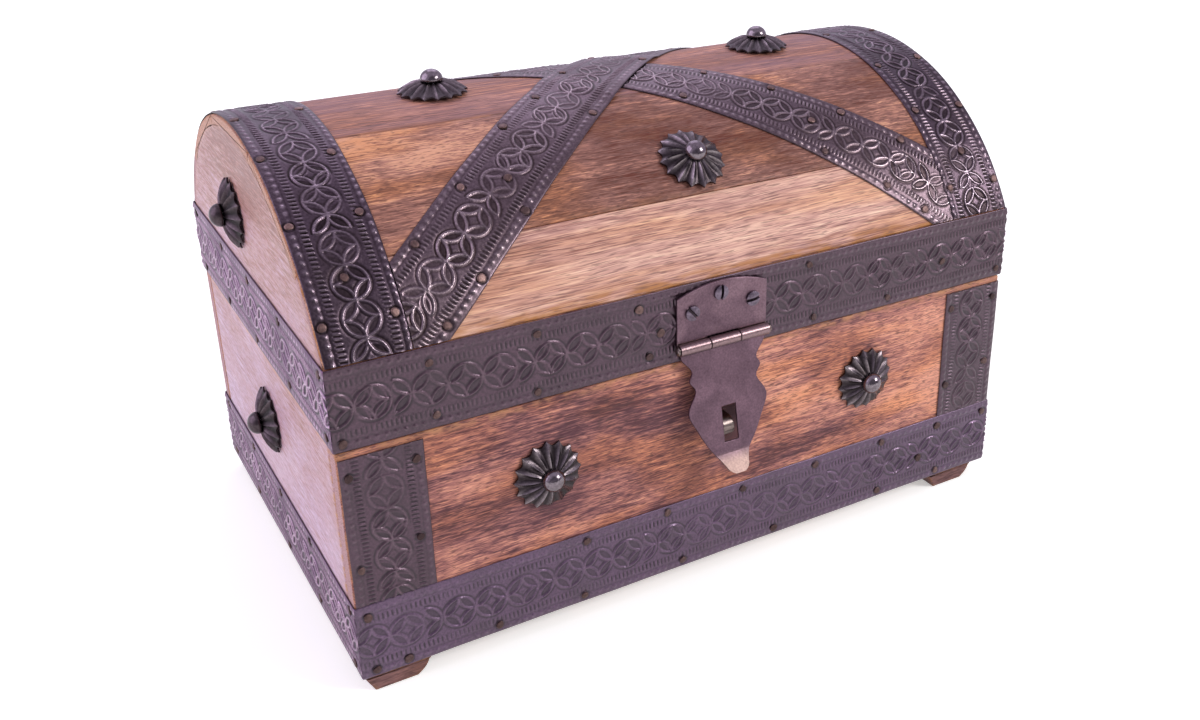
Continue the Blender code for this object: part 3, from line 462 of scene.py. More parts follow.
@dataclass(frozen=True)
class SheetSteel:
    """Bright mild steel, rolled and filed, dulled by handling.

    The eye sees a flat grey with a few smears, faint file lines and a paler tip.
    """

    name: str
    clean: str
    dull: str
    roughness: float
    tip: str | None = None
    tip_z: tuple[float, float] = (0.0, 1.0)
    rolled_z: float = 0.0
    # colour of the knuckle round the pin: partly rubbed wear, partly painted highlight
    rubbed: str = "#836d6f"
    lines: float = 0.6

    def material(self) -> bpy.types.Material:
        """Make the material: smears of 12 mm, grit of 0.8 mm and file lines 0.6 mm apart.

        By height it has a paler tip, and within 2.5 mm of its pin a paler knuckle, partly rubbed wear
        and partly painted highlight. A file's lines are finer and closer than that and are drawn as coarse as they
        need to show.

        Returns:
            The material.
        """
        made, tree, sockets = new_material(self.name)
        sockets["Metallic"].default_value = 1.0
        place = add_node(tree, "ShaderNodeTexCoord").outputs["Object"]
        smear = add_node(tree, "ShaderNodeTexNoise", {"Vector": place, "Scale": 1.0 / (12.0 * MM), "Detail": 4.0,
                                                      "Distortion": 0.6}).outputs[0]
        held = add_node(tree, "ShaderNodeMapRange", {0: smear, 1: 0.38, 2: 0.64}).outputs[0]
        colour = add_node(tree, "ShaderNodeMix", {0: held, 6: linear(self.dull), 7: linear(self.clean)},
                          data_type="RGBA").outputs[2]
        height = add_node(tree, "ShaderNodeSeparateXYZ", {0: place}).outputs[2]
        rough = add_node(tree, "ShaderNodeMapRange", {0: smear, 1: 0.3, 2: 0.7, 3: self.roughness + 0.1,
                                                      4: self.roughness - 0.06}).outputs[0]
        # The knuckle is painted paler near its pin: partly rubbed wear, partly painted highlight.
        if self.rolled_z:
            rolled = add_node(tree, "ShaderNodeMath", {0: height, 1: self.rolled_z, 2: 2.5 * MM},
                              operation="COMPARE").outputs[0]
            colour = add_node(tree, "ShaderNodeMix", {0: rolled, 6: colour, 7: linear(self.rubbed)},
                              data_type="RGBA").outputs[2]
            rough = add_node(tree, "ShaderNodeMix", {0: rolled, 2: rough, 3: 0.33}).outputs[0]
        if self.tip:
            rubbed = add_node(tree, "ShaderNodeMapRange", {0: height, 1: self.tip_z[1], 2: self.tip_z[0]},
                              interpolation_type="SMOOTHSTEP").outputs[0]
            colour = add_node(tree, "ShaderNodeMix", {0: rubbed, 6: colour, 7: linear(self.tip)},
                              data_type="RGBA").outputs[2]
        grit = add_node(tree, "ShaderNodeTexNoise", {"Vector": place, "Scale": 1.0 / (0.8 * MM), "Detail": 2.0})
        grit = add_node(tree, "ShaderNodeMapRange", {0: grit.outputs[0], 1: 0.3, 2: 0.7, 3: 0.82, 4: 1.18}).outputs[0]
        colour = add_node(tree, "ShaderNodeVectorMath", {0: colour, 1: grit}, operation="MULTIPLY").outputs[0]
        tree.links.new(colour, sockets["Base Color"])
        tree.links.new(rough, sockets["Roughness"])
        stretched = add_node(tree, "ShaderNodeVectorMath", {0: place, 1: (60.0, 60.0, 1.0 / (self.lines * MM))},
                             operation="MULTIPLY").outputs[0]
        filed = add_node(tree, "ShaderNodeTexNoise", {"Vector": stretched, "Scale": 1.0, "Detail": 2.0}).outputs[0]
        bump = add_node(tree, "ShaderNodeBump", {"Height": filed, "Strength": 0.25, "Distance": 0.04 * MM})
        tree.links.new(bump.outputs[0], sockets["Normal"])
        return made


@dataclass(frozen=True)
class ChestSizes:
    """Sizes that the pieces share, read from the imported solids."""

    middle_y: float
    half_length: float
    half_depth: float
    seam_z: float
    spring_z: float
    dome_radius: float
    dome_z: float
    gap: float = 0.3 * MM
    sheet: float = 0.7 * MM

    @classmethod
    def measure(cls) -> "ChestSizes":
        """Read the sizes. The dome's radius is (half depth squared + rise squared) / (2 rise).

        Returns:
            The sizes.
        """
        front_low, front_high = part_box("front_board")
        back_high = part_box("back_board")[1]
        rail_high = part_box("lid_front_rail")[1]
        half_depth = (back_high.y - front_low.y) / 2
        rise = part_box("stave_ridge")[1].z - rail_high.z
        radius = (half_depth ** 2 + rise ** 2) / (2 * rise)
        return cls(middle_y=(back_high.y + front_low.y) / 2, half_length=front_high.x, half_depth=half_depth,
                   seam_z=front_high.z, spring_z=rail_high.z, dome_radius=radius,
                   dome_z=rail_high.z + rise - radius)

    def dome(self, x: Array, arc: Array, height: Array) -> tuple[Array, Array]:
        """Points over the dome and its normals there.

        Args:
            x: place along the chest.
            arc: distance round the dome from the ridge, positive to the back.
            height: distance above the dome.

        Returns:
            Points at radius + height and angle arc / radius about the dome's axis, and unit normals.
        """
        angle = arc / self.dome_radius
        normal = np.stack([np.zeros_like(angle), np.sin(angle), np.cos(angle)], axis=-1)
        axis = np.stack([x, np.full_like(x, self.middle_y), np.full_like(x, self.dome_z)], axis=-1)
        return axis + normal * (self.dome_radius + height)[..., None], normal


@dataclass
class WoodPiece:
    """A length of wood: one outline carried along an axis, with rubbed arrises at its ends."""

    name: str
    body: str
    slot: str
    finish: bpy.types.Material
    axis: int
    outline: Array
    wear: Array
    start: float
    end: float
    arris: float = 1.1 * MM
    share: Array | float = 1.0

    def build(self) -> None:
        """Build the piece, which stands for the node of its name.

        At each end the outline moves in by arris (1 - sin a) while the place along the axis runs
        over arris (1 - cos a), for a from 0 to 90 degrees, and each point takes its own share of
        that. The end faces close in shrinking rings and are marked as cut across the grain.
        """
        count = len(self.outline)
        tangent = np.roll(self.outline, -1, axis=0) - np.roll(self.outline, 1, axis=0)
        tangent /= np.linalg.norm(tangent, axis=1, keepdims=True)
        normal = np.stack([tangent[:, 1], -tangent[:, 0]], axis=1)
        turn = np.radians([0.0, 30.0, 60.0, 90.0])
        inset = 0.85 * self.arris * (1 - np.sin(turn))
        run = self.arris * (1 - np.cos(turn))
        fade = np.array([1.6, 3.6]) * MM
        reach = np.concatenate([np.zeros(2), run, fade])
        tuck = np.concatenate([np.full(2, inset[0]), inset, np.zeros(2)])
        shrink = np.concatenate([[0.89, 0.955], np.ones(6)])
        rubbed = np.concatenate([[0.0, 0.45], np.ones(4), [0.45, 0.0]])
        along = np.concatenate([self.start + reach, self.end - reach[::-1]])
        tuck, shrink, rubbed = (np.concatenate([part, part[::-1]]) for part in (tuck, shrink, rubbed))
        middle = (self.outline.min(axis=0) + self.outline.max(axis=0)) / 2
        share = np.broadcast_to(self.share, count)
        rings = self.outline[None] - normal[None] * (tuck[:, None] * share)[..., None]
        rings = middle + (rings - middle) * shrink[:, None, None]
        points = np.empty((len(along), count, 3))
        points[..., self.axis] = along[:, None]
        points[..., (self.axis + 1) % 3] = rings[..., 0]
        points[..., (self.axis + 2) % 3] = rings[..., 1]
        inside = (shrink < 1.0)[:, None]
        edge = rubbed[:, None] * share
        wear = np.where(inside, edge, np.maximum(edge, self.wear[None]))
        cut = np.zeros((len(along), count))
        cut[[0, 1, 2, -3, -2, -1]] = 1.0
        quads = grid_quads(len(along), count, close_columns=True)[:, ::-1]
        caps = [np.arange(count)[::-1], np.arange(count) + (len(along) - 1) * count]
        mesh = new_mesh(self.name, points, quads, caps, {"wear": wear, "cut": cut}, sharp=50.0)
        show(f"{self.name}_wood", mesh, self.finish, self.body, [self.name])


def rounded_outline(low: Sequence[float], high: Sequence[float], radius: float) -> tuple[Array, Array]:
    """Rectangle with rubbed corners, anticlockwise.

    Args:
        low: lowest corner.
        high: highest corner.
        radius: radius of the corners.

    Returns:
        Points, and the wear at each: 1 on the corners, fading over a few millimetres of each side.
    """
    points, wear = [], []
    corners = ((high[0], low[1], -90.0), (high[0], high[1], 0.0), (low[0], high[1], 90.0), (low[0], low[1], 180.0))
    inward = ((-1, 1), (-1, -1), (1, -1), (1, 1))
    for number, ((a, b, begin), (da, db)) in enumerate(zip(corners, inward)):
        centre = np.array([a + da * radius, b + db * radius])
        angle = np.radians(begin + np.array([0.0, 22.5, 45.0, 67.5, 90.0]))
        arc = centre + radius * np.stack([np.cos(angle), np.sin(angle)], axis=1)
        far = np.array(corners[(number + 1) % 4][:2])
        step = far - np.array([a, b])
        length = np.linalg.norm(step)
        step = step / length
        room = length - 2 * radius
        fade = np.array([f for f in (1.2 * MM, 3.0 * MM) if f < room / 2])
        side = np.concatenate([fade, room - fade[::-1]])
        points += [arc, arc[-1] + step * side[:, None]]
        fall = np.array([0.45, 0.0])[:len(fade)]
        wear += [np.ones(5), np.concatenate([fall, fall[::-1]])]
    return np.concatenate(points), np.concatenate(wear)


@dataclass
class Carcass:
    """Boards and feet of the box, and rails, end panels and staves of the lid."""

    sizes: ChestSizes
    stave_sheet: float = 4.0 * MM
    stave_width: float = 57.0 * MM
    corner: float = 1.1 * MM
    joint_arris: float = 0.5 * MM
    finishes: dict[str, bpy.types.Material] = field(default_factory=dict)

    def dress(self) -> None:
        """Make the finishes, one for each kind of board."""
        brown = ("#55323a", "#674146", "#9e6762", "#c98976", "#e3a189")
        woods = [
            # Its deep patch at x 8, z 64 is painted shadow, behind the hasp leaf and in its slot.
            StainedWood("front_board_stained_hardwood", brown, shift=(0.31, 0.0, 0.0),
                        stains_and_painted_light=(StainAndPaintedLightPatch(-22.0, 70.0, 62.0, 32.0, 0.12), StainAndPaintedLightPatch(22.0, 56.0, 40.0, 26.0, 0.08),
                                StainAndPaintedLightPatch(108.0, 66.0, 64.0, 64.0, -0.22), StainAndPaintedLightPatch(8.0, 64.0, 13.0, 21.0, 0.7))),
            # Skirt staves: their pale tones are partly the wood's colour and partly painted glare of the key lamp.
            StainedWood("skirt_stave_stained_hardwood_painted_glare", ("#78423a", "#996c66", "#cb9a8e", "#ebc0aa", "#fae2c6"),
                        fleck="#6a4a47", raw="#b07646", shift=(0.0, 0.17, 0.0), length=2.6, figure=0.5,
                        clouds=0.5, fibres=0.7),
            StainedWood("front_stave_stained_hardwood", ("#5f2c20", "#6d443a", "#825850", "#aa7566", "#d2997e"),
                        amber=1.0, cut="#c09680", fleck="#50302a", shift=(0.73, 0.0, 0.2),
                        stains_and_painted_light=(StainAndPaintedLightPatch(14.0, 0.0, 60.0, 2000.0, 0.08), StainAndPaintedLightPatch(-105.0, 186.0, 70.0, 36.0, -0.32),
                                StainAndPaintedLightPatch(-100.0, 150.0, 60.0, 20.0, 0.07))),
            StainedWood("ridge_stave_stained_hardwood", ("#815c60", "#866066", "#8f6460", "#ba8274", "#e0a08a"),
                        cut="#c09680", shift=(0.0, 0.61, 0.4), length=2.2, figure=0.6, clouds=0.6),
            # End boards: their pale lilac upper tones are partly the wood's colour and partly painted glare. The patch
            # at the top is partly the wood's browner colour and partly painted shade; the one at the bottom is painted
            # light, as from the floor.
            StainedWood("end_board_stained_hardwood_painted_light", ("#83523a", "#a1705a", "#b48b90", "#bfa0b0", "#d0b7c9"),
                        grain=Grain.ALONG_Y, shift=(0.2, 0.0, 0.9), figure=0.6, clouds=0.5, streaks=0.5, flecks=0.25,
                        roughness=0.36, gloss=0.5, sheen=0.2, amber=0.3, raw="#c1906c", cut=None,
                        stains_and_painted_light=(StainAndPaintedLightPatch(0.0, 215.0, 2000.0, 88.0, 0.46), StainAndPaintedLightPatch(0.0, 30.0, 2000.0, 70.0, -0.2))),
            StainedWood("foot_rubbed_hardwood", ("#4a3031", "#5d3f40", "#72504f", "#855f5c", "#966e68"),
                        roughness=0.6, raw="#8a5f48", cut=None),
            StainedWood("back_board_stained_hardwood", brown, shift=(0.9, 0.0, 0.3)),
            StainedWood("inner_plain_hardwood", ("#6a4a42", "#8b6656", "#ab8069", "#c09579", "#cfa58a"),
                        shift=(0.0, 0.0, 0.55), amber=0.3),
        ]
        keys = ("front", "skirt", "stave", "ridge", "end", "foot", "back", "inner")
        self.finishes = {key: wood.material() for key, wood in zip(keys, woods)}

    def board(self, node: str, body: str, axis: int, finish: str, slot: str) -> None:
        """Dress a straight board that runs along an axis, from the box of its node.

        Args:
            node: name of the board.
            body: the body that it moves with.
            axis: number of the axis that it runs along.
            finish: name of its finish.
            slot: the record's material slot; not used.
        """
        low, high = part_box(node)
        first, second = (axis + 1) % 3, (axis + 2) % 3
        outline, wear = rounded_outline((low[first], low[second]), (high[first], high[second]), self.corner)
        WoodPiece(node, body, slot, self.finishes[finish], axis, outline, wear, low[axis], high[axis]).build()

    def lid_end(self, node: str) -> None:
        """Dress a D-shaped end panel: square shoulders below and an arc under the staves.

        Args:
            node: name of the panel.
        """
        low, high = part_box(node)
        sizes = self.sizes
        radius = sizes.dome_radius - self.stave_sheet - 0.02 * MM
        shoulder = sizes.spring_z + sizes.gap
        reach = math.acos((shoulder - sizes.dome_z) / radius)
        angle = np.linspace(reach, -reach, 61)
        crown = np.stack([sizes.middle_y + radius * np.sin(angle), sizes.dome_z + radius * np.cos(angle)], axis=1)
        foot = np.array([[low.y, low.z], [high.y, low.z]])
        left, right = np.array([[low.y, shoulder]]), np.array([[high.y, shoulder]])
        outline = np.concatenate([foot, right, crown, left])
        wear = np.full(len(outline), 0.6)
        WoodPiece(node, "lid", "pale_wood", self.finishes["end"], 0, outline, wear, low.x, high.x,
                  arris=0.6 * MM, share=0.05).build()

    def stave(self, node: str, first: float, last: float, finish: str) -> None:
        """Dress a stave: a slice of the dome shell between two angles, its outer arrises rubbed round.

        Args:
            node: name of the stave.
            first: angle of its edge nearest the front, from the ridge towards the back.
            last: angle of its other edge.
            finish: name of its finish.
        """
        sizes = self.sizes
        low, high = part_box(node)
        outer, inner = sizes.dome_radius, sizes.dome_radius - self.stave_sheet
        foot = sizes.spring_z + sizes.gap
        end_outer = math.acos((foot - sizes.dome_z) / outer)
        end_inner = math.acos((foot - sizes.dome_z) / inner)
        arris = self.joint_arris
        rub = arris / outer
        steps = np.array([0.0, 0.35, 1.0])
        drop = arris * np.array([1.0, 0.3, 0.0])
        from_last = np.clip(last, -end_outer, end_outer) - rub * steps
        from_first = np.clip(first, -end_outer, end_outer) + rub * steps
        fade = np.array([2.2, 4.4]) * MM / outer
        body = np.concatenate([from_last[-1] - fade, np.linspace(from_last[-1] - 2 * fade[1],
                                                                from_first[-1] + 2 * fade[1], OUTER_POINTS),
                               from_first[-1] + fade[::-1]])
        back = np.linspace(np.clip(first, -end_inner, end_inner), np.clip(last, -end_inner, end_inner), INNER_POINTS)
        angle = np.concatenate([from_last, body, from_first[::-1], back])
        radius = np.concatenate([outer - drop, np.full(len(body), outer), outer - drop[::-1],
                                 np.full(INNER_POINTS, inner)])
        joint, foot_edge = np.array([0.3, 0.3, 0.2, 0.0, 0.0]), np.array([1.0, 1.0, 1.0, 0.8, 0.25])
        from_last_wear, from_first_wear = (foot_edge if abs(edge) > end_outer else joint for edge in (last, first))
        wear = np.concatenate([from_last_wear, np.zeros(OUTER_POINTS), from_first_wear[::-1],
                               np.zeros(INNER_POINTS)])
        outline = np.stack([sizes.middle_y + radius * np.sin(angle), sizes.dome_z + radius * np.cos(angle)], axis=1)
        share = np.concatenate([np.ones(len(angle) - INNER_POINTS), np.full(INNER_POINTS, 0.05)])
        WoodPiece(node, "lid", "stained_wood", self.finishes[finish], 0, outline, wear, low.x, high.x,
                  arris=0.9 * MM, share=share).build()

    def foot(self, node: str) -> None:
        """Dress a foot: a moulding that slopes on its left and rounds under on its right, carried front to back.

        The right side runs in by its reach and bulges by a half sine.

        Args:
            node: name of the foot.
        """
        low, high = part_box(node)
        slope, setback, reach, bulge = 3.4 * MM, 1.0 * MM, 5.4 * MM, 0.9 * MM
        share = np.linspace(0.0, 1.0, 13)
        tall = high.z - low.z
        out = bulge * np.sin(np.pi * share)
        curve = np.stack([high.z - tall * share - 0.6 * out, high.x - setback - reach * share + 0.8 * out], axis=1)
        curve[:, 0] = np.maximum(curve[:, 0], low.z)
        sole = np.array([[low.z, low.x + slope + 0.3 * MM], [low.z + 0.4 * MM, low.x + slope - 0.2 * MM]])
        top = np.array([[high.z - 0.3 * MM, low.x], [high.z, low.x + 0.4 * MM]])
        outline = np.concatenate([curve, sole, top])
        WoodPiece(node, "body", "worn_wood", self.finishes["foot"], 1, outline, np.full(len(outline), 0.25),
                  low.y, high.y, arris=0.7 * MM).build()

    def build(self) -> None:
        """Dress every wooden piece."""
        self.dress()
        self.board("front_board", "body", 0, "front", "stained_wood")
        self.board("back_board", "body", 0, "back", "stained_wood")
        self.board("left_end_board", "body", 1, "end", "pale_wood")
        self.board("right_end_board", "body", 1, "end", "pale_wood")
        self.board("floor_board", "body", 0, "inner", "stained_wood")
        self.board("lid_front_rail", "lid", 0, "back", "stained_wood")
        self.board("lid_back_rail", "lid", 0, "back", "stained_wood")
        for side in ("left", "right"):
            self.lid_end(f"lid_{side}_end")
            for row in ("front", "back"):
                self.foot(f"foot_{row}_{side}")
        pitch = self.stave_width / self.sizes.dome_radius
        half_gap = 0.05 * MM / self.sizes.dome_radius
        edges = (-math.pi / 2, -1.5 * pitch, -0.5 * pitch, 0.5 * pitch, 1.5 * pitch, math.pi / 2)
        names = (("stave_front_skirt", "skirt"), ("stave_front", "stave"), ("stave_ridge", "ridge"),
                 ("stave_back", "stave"), ("stave_back_skirt", "skirt"))
        for (node, finish), first, last in zip(names, edges, edges[1:]):
            self.stave(node, first + half_gap, last - half_gap, finish)


@dataclass(frozen=True)
class StampedPattern:
    """Rolled stamping: a chain of circles between two ladders and two rows of beads, in millimetres.

    The roller prints three whole circles and then, at its joint, half of one.
    """

    pitch: float = 12.8
    radius: float = 6.15
    joint: float = 7.0
    ridge: float = 0.34
    groove: float = 0.92
    ladder: tuple[float, float] = (8.2, 10.6)
    rib_pitch: float = 1.7
    bead_line: float = 13.1
    bead_pitch: float = 3.25
    level: float = 0.32

    def chain(self, u: Array, v: Array) -> tuple[Array, Array]:
        """Ridges and petals of one circle.

        Four arcs of the circle's own radius, centred on the corners of its square, cut it into
        four petals round a diamond. A ridge is exp(-(distance / width) squared) from its line.

        Args:
            u: distance from the circle's middle along the strip.
            v: distance from it across the strip.

        Returns:
            Height of the ridges, and depth of the petals and of the grooves beside the ridges, 0 to 1.
        """
        outer = np.hypot(u, v) - self.radius
        inner = np.hypot(np.abs(u) - self.radius, np.abs(v) - self.radius) - self.radius
        arcs = np.where(outer < 0.0, np.exp(-(inner / self.ridge) ** 2), 0.0)
        ridges = np.maximum(np.exp(-(outer / self.ridge) ** 2), arcs)
        # The grooves also sink the relief, so beside each ridge the colour goes dark as painted shade.
        grooves = np.exp(-((np.abs(outer) - self.groove) / 0.45) ** 2)
        grooves = np.maximum(grooves, np.exp(-((np.abs(inner) - self.groove) / 0.45) ** 2) * (outer < 0.0))
        petals = 0.7 * smooth_step(np.minimum(-outer, -inner) / 1.1)
        return ridges, np.maximum(petals, grooves) * (1.0 - ridges)

    def relief(self, s: Array, t: Array, seed: int) -> Array:
        """Height of the stamping: 0 in the petals, level on the plain sheet and 1 on the ridges.

        The ladder is a cosine along the strip between two lines, the beads are round bumps
        beside it, and the hand's uneven pressure fades each circle by a seeded share.

        Args:
            s: distance along the strip.
            t: distance across it from the middle.
            seed: seed of the hand's unevenness.

        Returns:
            The relief, of the same shape as s.
        """
        draw = np.random.default_rng(seed)
        period = 3 * self.pitch + self.joint
        wide = t + draw.uniform(-0.9, 0.5) + 0.3 * drift(s, seed, (151.0, 67.0))
        along = s + draw.uniform(0.0, period) + 0.4 * drift(s, seed + 1, (83.0, 45.0))
        turn = np.floor(along / period)
        rest = along - turn * period
        number = np.clip(np.floor(rest / self.pitch), 0, 3)
        halved = number == 3
        u = rest - np.where(halved, 3 * self.pitch + 0.3, (number + 0.5) * self.pitch)
        ridges, petals = self.chain(u, wide)
        press = (4 * turn + number).astype(int) % PRESSES
        struck = draw.uniform(0.0, 1.0, PRESSES)[press] < 0.3
        again = self.chain(u + 1.6, wide - 0.5)[0]
        ridges = np.maximum(ridges, 0.5 * again * struck)
        whole = ~halved | (u > 0.0)
        ridges, petals = np.where(whole, ridges, 0.0), np.where(whole, petals, 0.0)
        for centre in (2.5 * self.pitch, period + 0.5 * self.pitch):
            outer = np.hypot(rest - centre, wide) - self.radius
            ridges = np.maximum(ridges, np.exp(-(outer / self.ridge) ** 2) * halved)
        force = draw.uniform(0.6, 1.0, PRESSES)[press]
        v = np.abs(wide)
        low, high = self.ladder
        window = smooth_step((v - low + 0.4) / 0.7) * smooth_step((high + 0.4 - v) / 0.7)
        ribs = 0.5 * np.cos(2 * np.pi * (along + 0.08 * wide) / self.rib_pitch) + 0.06
        depth = 0.75 + 0.25 * drift(s, seed + 4, (53.0, 19.0))
        bead = np.hypot(v - self.bead_line, (along / self.bead_pitch - np.round(along / self.bead_pitch))
                        * self.bead_pitch)
        bumps = 0.68 * np.exp(-(bead / 0.8) ** 2)
        groove = 0.14 * np.exp(-((v - 11.9) / 0.45) ** 2)
        shape = (0.68 * ridges - 0.30 * petals) * force
        shape += depth * (ribs * window + bumps) - groove
        return np.clip(self.level + shape, 0.0, 1.0)


@dataclass
class Strip:
    """A stamped strip on a face of the chest. Along it runs s and across it t, in metres."""

    name: str
    node: str
    body: str
    finish: bpy.types.Material
    sizes: ChestSizes
    nails: Spots
    seed: int
    width: float = 31.0 * MM
    step_along: float = 0.37 * MM
    step_across: float = 0.38 * MM
    ground: float = 0.24 * MM
    stamp: float = 0.75 * MM
    nail_shade: float = 0.5
    pattern: StampedPattern = StampedPattern()
    start: float = 0.0
    end: float = 0.0

    def reach(self, t: Array) -> tuple[Array, Array]:
        """Where the strip starts and ends.

        Args:
            t: places across it.

        Returns:
            The first and the last s, for each t.
        """
        return np.full_like(t, self.start), np.full_like(t, self.end)

    def surface(self, s: Array, t: Array) -> tuple[Array, Array]:
        """Points on the inner face of the strip, which each kind of strip lays out.

        Args:
            s: places along it.
            t: places across it.

        Returns:
            The points, and unit normals.
        """
        raise NotImplementedError

    def relief(self, s: Array, t: Array) -> tuple[Array, Array]:
        """Relief of the stamping, and the height of the outer face over the inner one.

        The stamping is knocked flat round each nail by exp(-(distance / 2.4 mm) squared), with a
        dent round its head, and the sheet bends down within 0.6 mm of its cut edges.

        Args:
            s: places along the strip.
            t: places across it.

        Returns:
            The relief, 0 to 1, and the height.
        """
        stamped = self.pattern.relief(s / MM, t / MM, self.seed)
        flat, dent = np.zeros_like(s), np.zeros_like(s)
        for nail_s, nail_t in self.nails:
            away = np.hypot(s / MM - nail_s, t / MM - nail_t)
            flat = np.maximum(flat, np.exp(-(away / 2.4) ** 2))
            dent = np.maximum(dent, np.exp(-((away - 1.9) / 0.4) ** 2))
        stamped = self.pattern.level + (stamped - self.pattern.level) * (1.0 - flat)
        # The dent also darkens a ring round each head through the relief's colour: painted shade.
        stamped = np.clip(stamped - 0.28 * dent, 0.0, 1.0)
        edge = smooth_step((self.width / 2 - np.abs(t)) / (0.6 * MM))
        buckle = 0.05 * MM * drift(s / MM, self.seed + 5, (71.0, 31.0)) * drift(t / MM, self.seed + 6, (43.0,))
        height = self.ground + self.stamp * stamped - 0.12 * MM * flat + buckle
        return stamped, height * (0.55 + 0.45 * edge)

    def build(self) -> None:
        """Build the strip as a closed sheet: a fine stamped face, a coarse back, walls and ends."""
        columns = round(self.width / self.step_across) + 1
        line = np.linspace(-self.width / 2, self.width / 2, columns)
        low, high = self.reach(line)
        rows = int(np.max(high - low) / self.step_along) + 2
        s = low + (high - low) * np.linspace(0.0, 1.0, rows)[:, None]
        wander = 1.0 + 0.008 * drift(s / MM, self.seed + 7, (97.0, 41.0))
        t = np.broadcast_to(line, s.shape)
        stamped, height = self.relief(s, t)
        points, normals = self.surface(s, t * wander)
        face = points + normals * height[..., None]
        picked = np.linspace(0, columns - 1, 6).round().astype(int)
        back = points[:, picked]
        under = rows * columns
        width = len(picked)
        i = np.arange(rows - 1)
        top, bottom = i * columns, under + i * width
        far, far_bottom = top + columns - 1, bottom + width - 1
        walls = np.concatenate([
            np.stack([top + columns, top, bottom, bottom + width], axis=1),
            np.stack([far, far + columns, far_bottom + width, far_bottom], axis=1)])
        quads = np.concatenate([grid_quads(rows, columns), grid_quads(rows, width, under)[:, ::-1], walls])
        last = (rows - 1) * columns
        last_under = under + (rows - 1) * width
        caps = [np.concatenate([np.arange(columns), under + np.arange(width)[::-1]]),
                np.concatenate([last + np.arange(columns)[::-1], last_under + np.arange(width)])]
        middle = rows // 2, columns // 2
        along = points[middle[0] + 1, middle[1]] - points[middle]
        across = points[middle[0], middle[1] + 1] - points[middle]
        if np.dot(np.cross(along, across), normals[middle]) < 0:
            quads = quads[:, ::-1]
            caps = [cap[::-1] for cap in caps]
        attribute = np.concatenate([stamped.ravel(), np.zeros(rows * width)])
        everything = np.concatenate([face.reshape(-1, 3), back.reshape(-1, 3)])
        mesh = new_mesh(self.name, everything, quads, caps, {"relief": attribute}, sharp=75.0)
        show(self.name, mesh, self.finish, self.body, [self.node])

    def nail_seats(self) -> tuple[Array, Array]:
        """Places of the nails on the knocked-down face.

        Returns:
            The places, and their directions.
        """
        spots = np.array(self.nails, float).reshape(-1, 2) * MM
        points, normals = self.surface(spots[:, 0], spots[:, 1])
        return points + normals * (self.ground + self.pattern.level * self.stamp - 0.12 * MM), normals


class Side(Enum):
    """The four sides of the box: outward direction and the direction along the strip."""

    FRONT = ((0.0, -1.0, 0.0), (1.0, 0.0, 0.0))
    RIGHT = ((1.0, 0.0, 0.0), (0.0, 1.0, 0.0))
    BACK = ((0.0, 1.0, 0.0), (-1.0, 0.0, 0.0))
    LEFT = ((-1.0, 0.0, 0.0), (0.0, -1.0, 0.0))


@dataclass
class WrapStrip(Strip):
    """One side of a strip that is wrapped round the box, up to the middle of its corner bends."""

    side: Side = Side.FRONT
    level: float = 0.0
    first: float = -1.0
    last: float = 1.0
    bend: float = 0.5 * MM

    def halves(self) -> tuple[float, float]:
        """Half lengths of the side.

        Returns:
            Half its length along the strip, and its distance out from the middle of the chest.
        """
        halves = (self.sizes.half_length, self.sizes.half_depth)
        along, out = halves if self.side in (Side.FRONT, Side.BACK) else halves[::-1]
        return along + self.sizes.gap, out + self.sizes.gap

    def reach(self, t: Array) -> tuple[Array, Array]:
        """The straight run and half of the bend at each corner, or as far as first and last say.

        Args:
            t: places across the strip.

        Returns:
            The first and the last s, for each t.
        """
        straight = self.halves()[0] - self.bend
        limit = straight + math.pi / 4 * (self.bend + self.sizes.sheet / 2)
        return np.full_like(t, max(-limit, self.first)), np.full_like(t, min(limit, self.last))

    def surface(self, s: Array, t: Array) -> tuple[Array, Array]:
        """Straight run along the side, then a round bend of up to 45 degrees at each end.

        Args:
            s: places along the strip.
            t: places across it.

        Returns:
            The points, and unit normals.
        """
        out, along = np.array(self.side.value[0]), np.array(self.side.value[1])
        straight = self.halves()[0] - self.bend
        centre = np.array([0.0, self.sizes.middle_y, self.level])
        past = np.clip(np.abs(s) - straight, 0.0, None)
        angle = (past / (self.bend + self.sizes.sheet / 2) * np.sign(s))[..., None]
        normal = out * np.cos(angle) + along * np.sin(angle)
        run = np.clip(s, -straight, straight)[..., None]
        base = centre + along * run + out * (self.halves()[1] - self.bend)
        return base + normal * self.bend + np.array([0.0, 0.0, 1.0]) * t[..., None], normal


@dataclass
class CornerStrip(Strip):
    """Short upright strip at a front corner. Along it runs the height, across it x."""

    middle_x: float = 0.0

    def surface(self, s: Array, t: Array) -> tuple[Array, Array]:
        """Flat face in front of the front board.

        Args:
            s: places along the strip.
            t: places across it.

        Returns:
            The points, and unit normals.
        """
        y = self.sizes.middle_y - self.sizes.half_depth - self.sizes.gap
        points = np.stack([self.middle_x + t, np.full_like(s, y), s], axis=-1)
        return points, np.broadcast_to(np.array([0.0, -1.0, 0.0]), points.shape)


@dataclass
class EndStrip(Strip):
    """Strip over the dome at one end. Along it runs the arc from the ridge, across it x."""

    middle_x: float = 0.0

    def surface(self, s: Array, t: Array) -> tuple[Array, Array]:
        """Points just over the dome.

        Args:
            s: places along the strip.
            t: places across it.

        Returns:
            The points, and unit normals.
        """
        return self.sizes.dome(self.middle_x + t, s, np.full_like(s, self.sizes.gap))


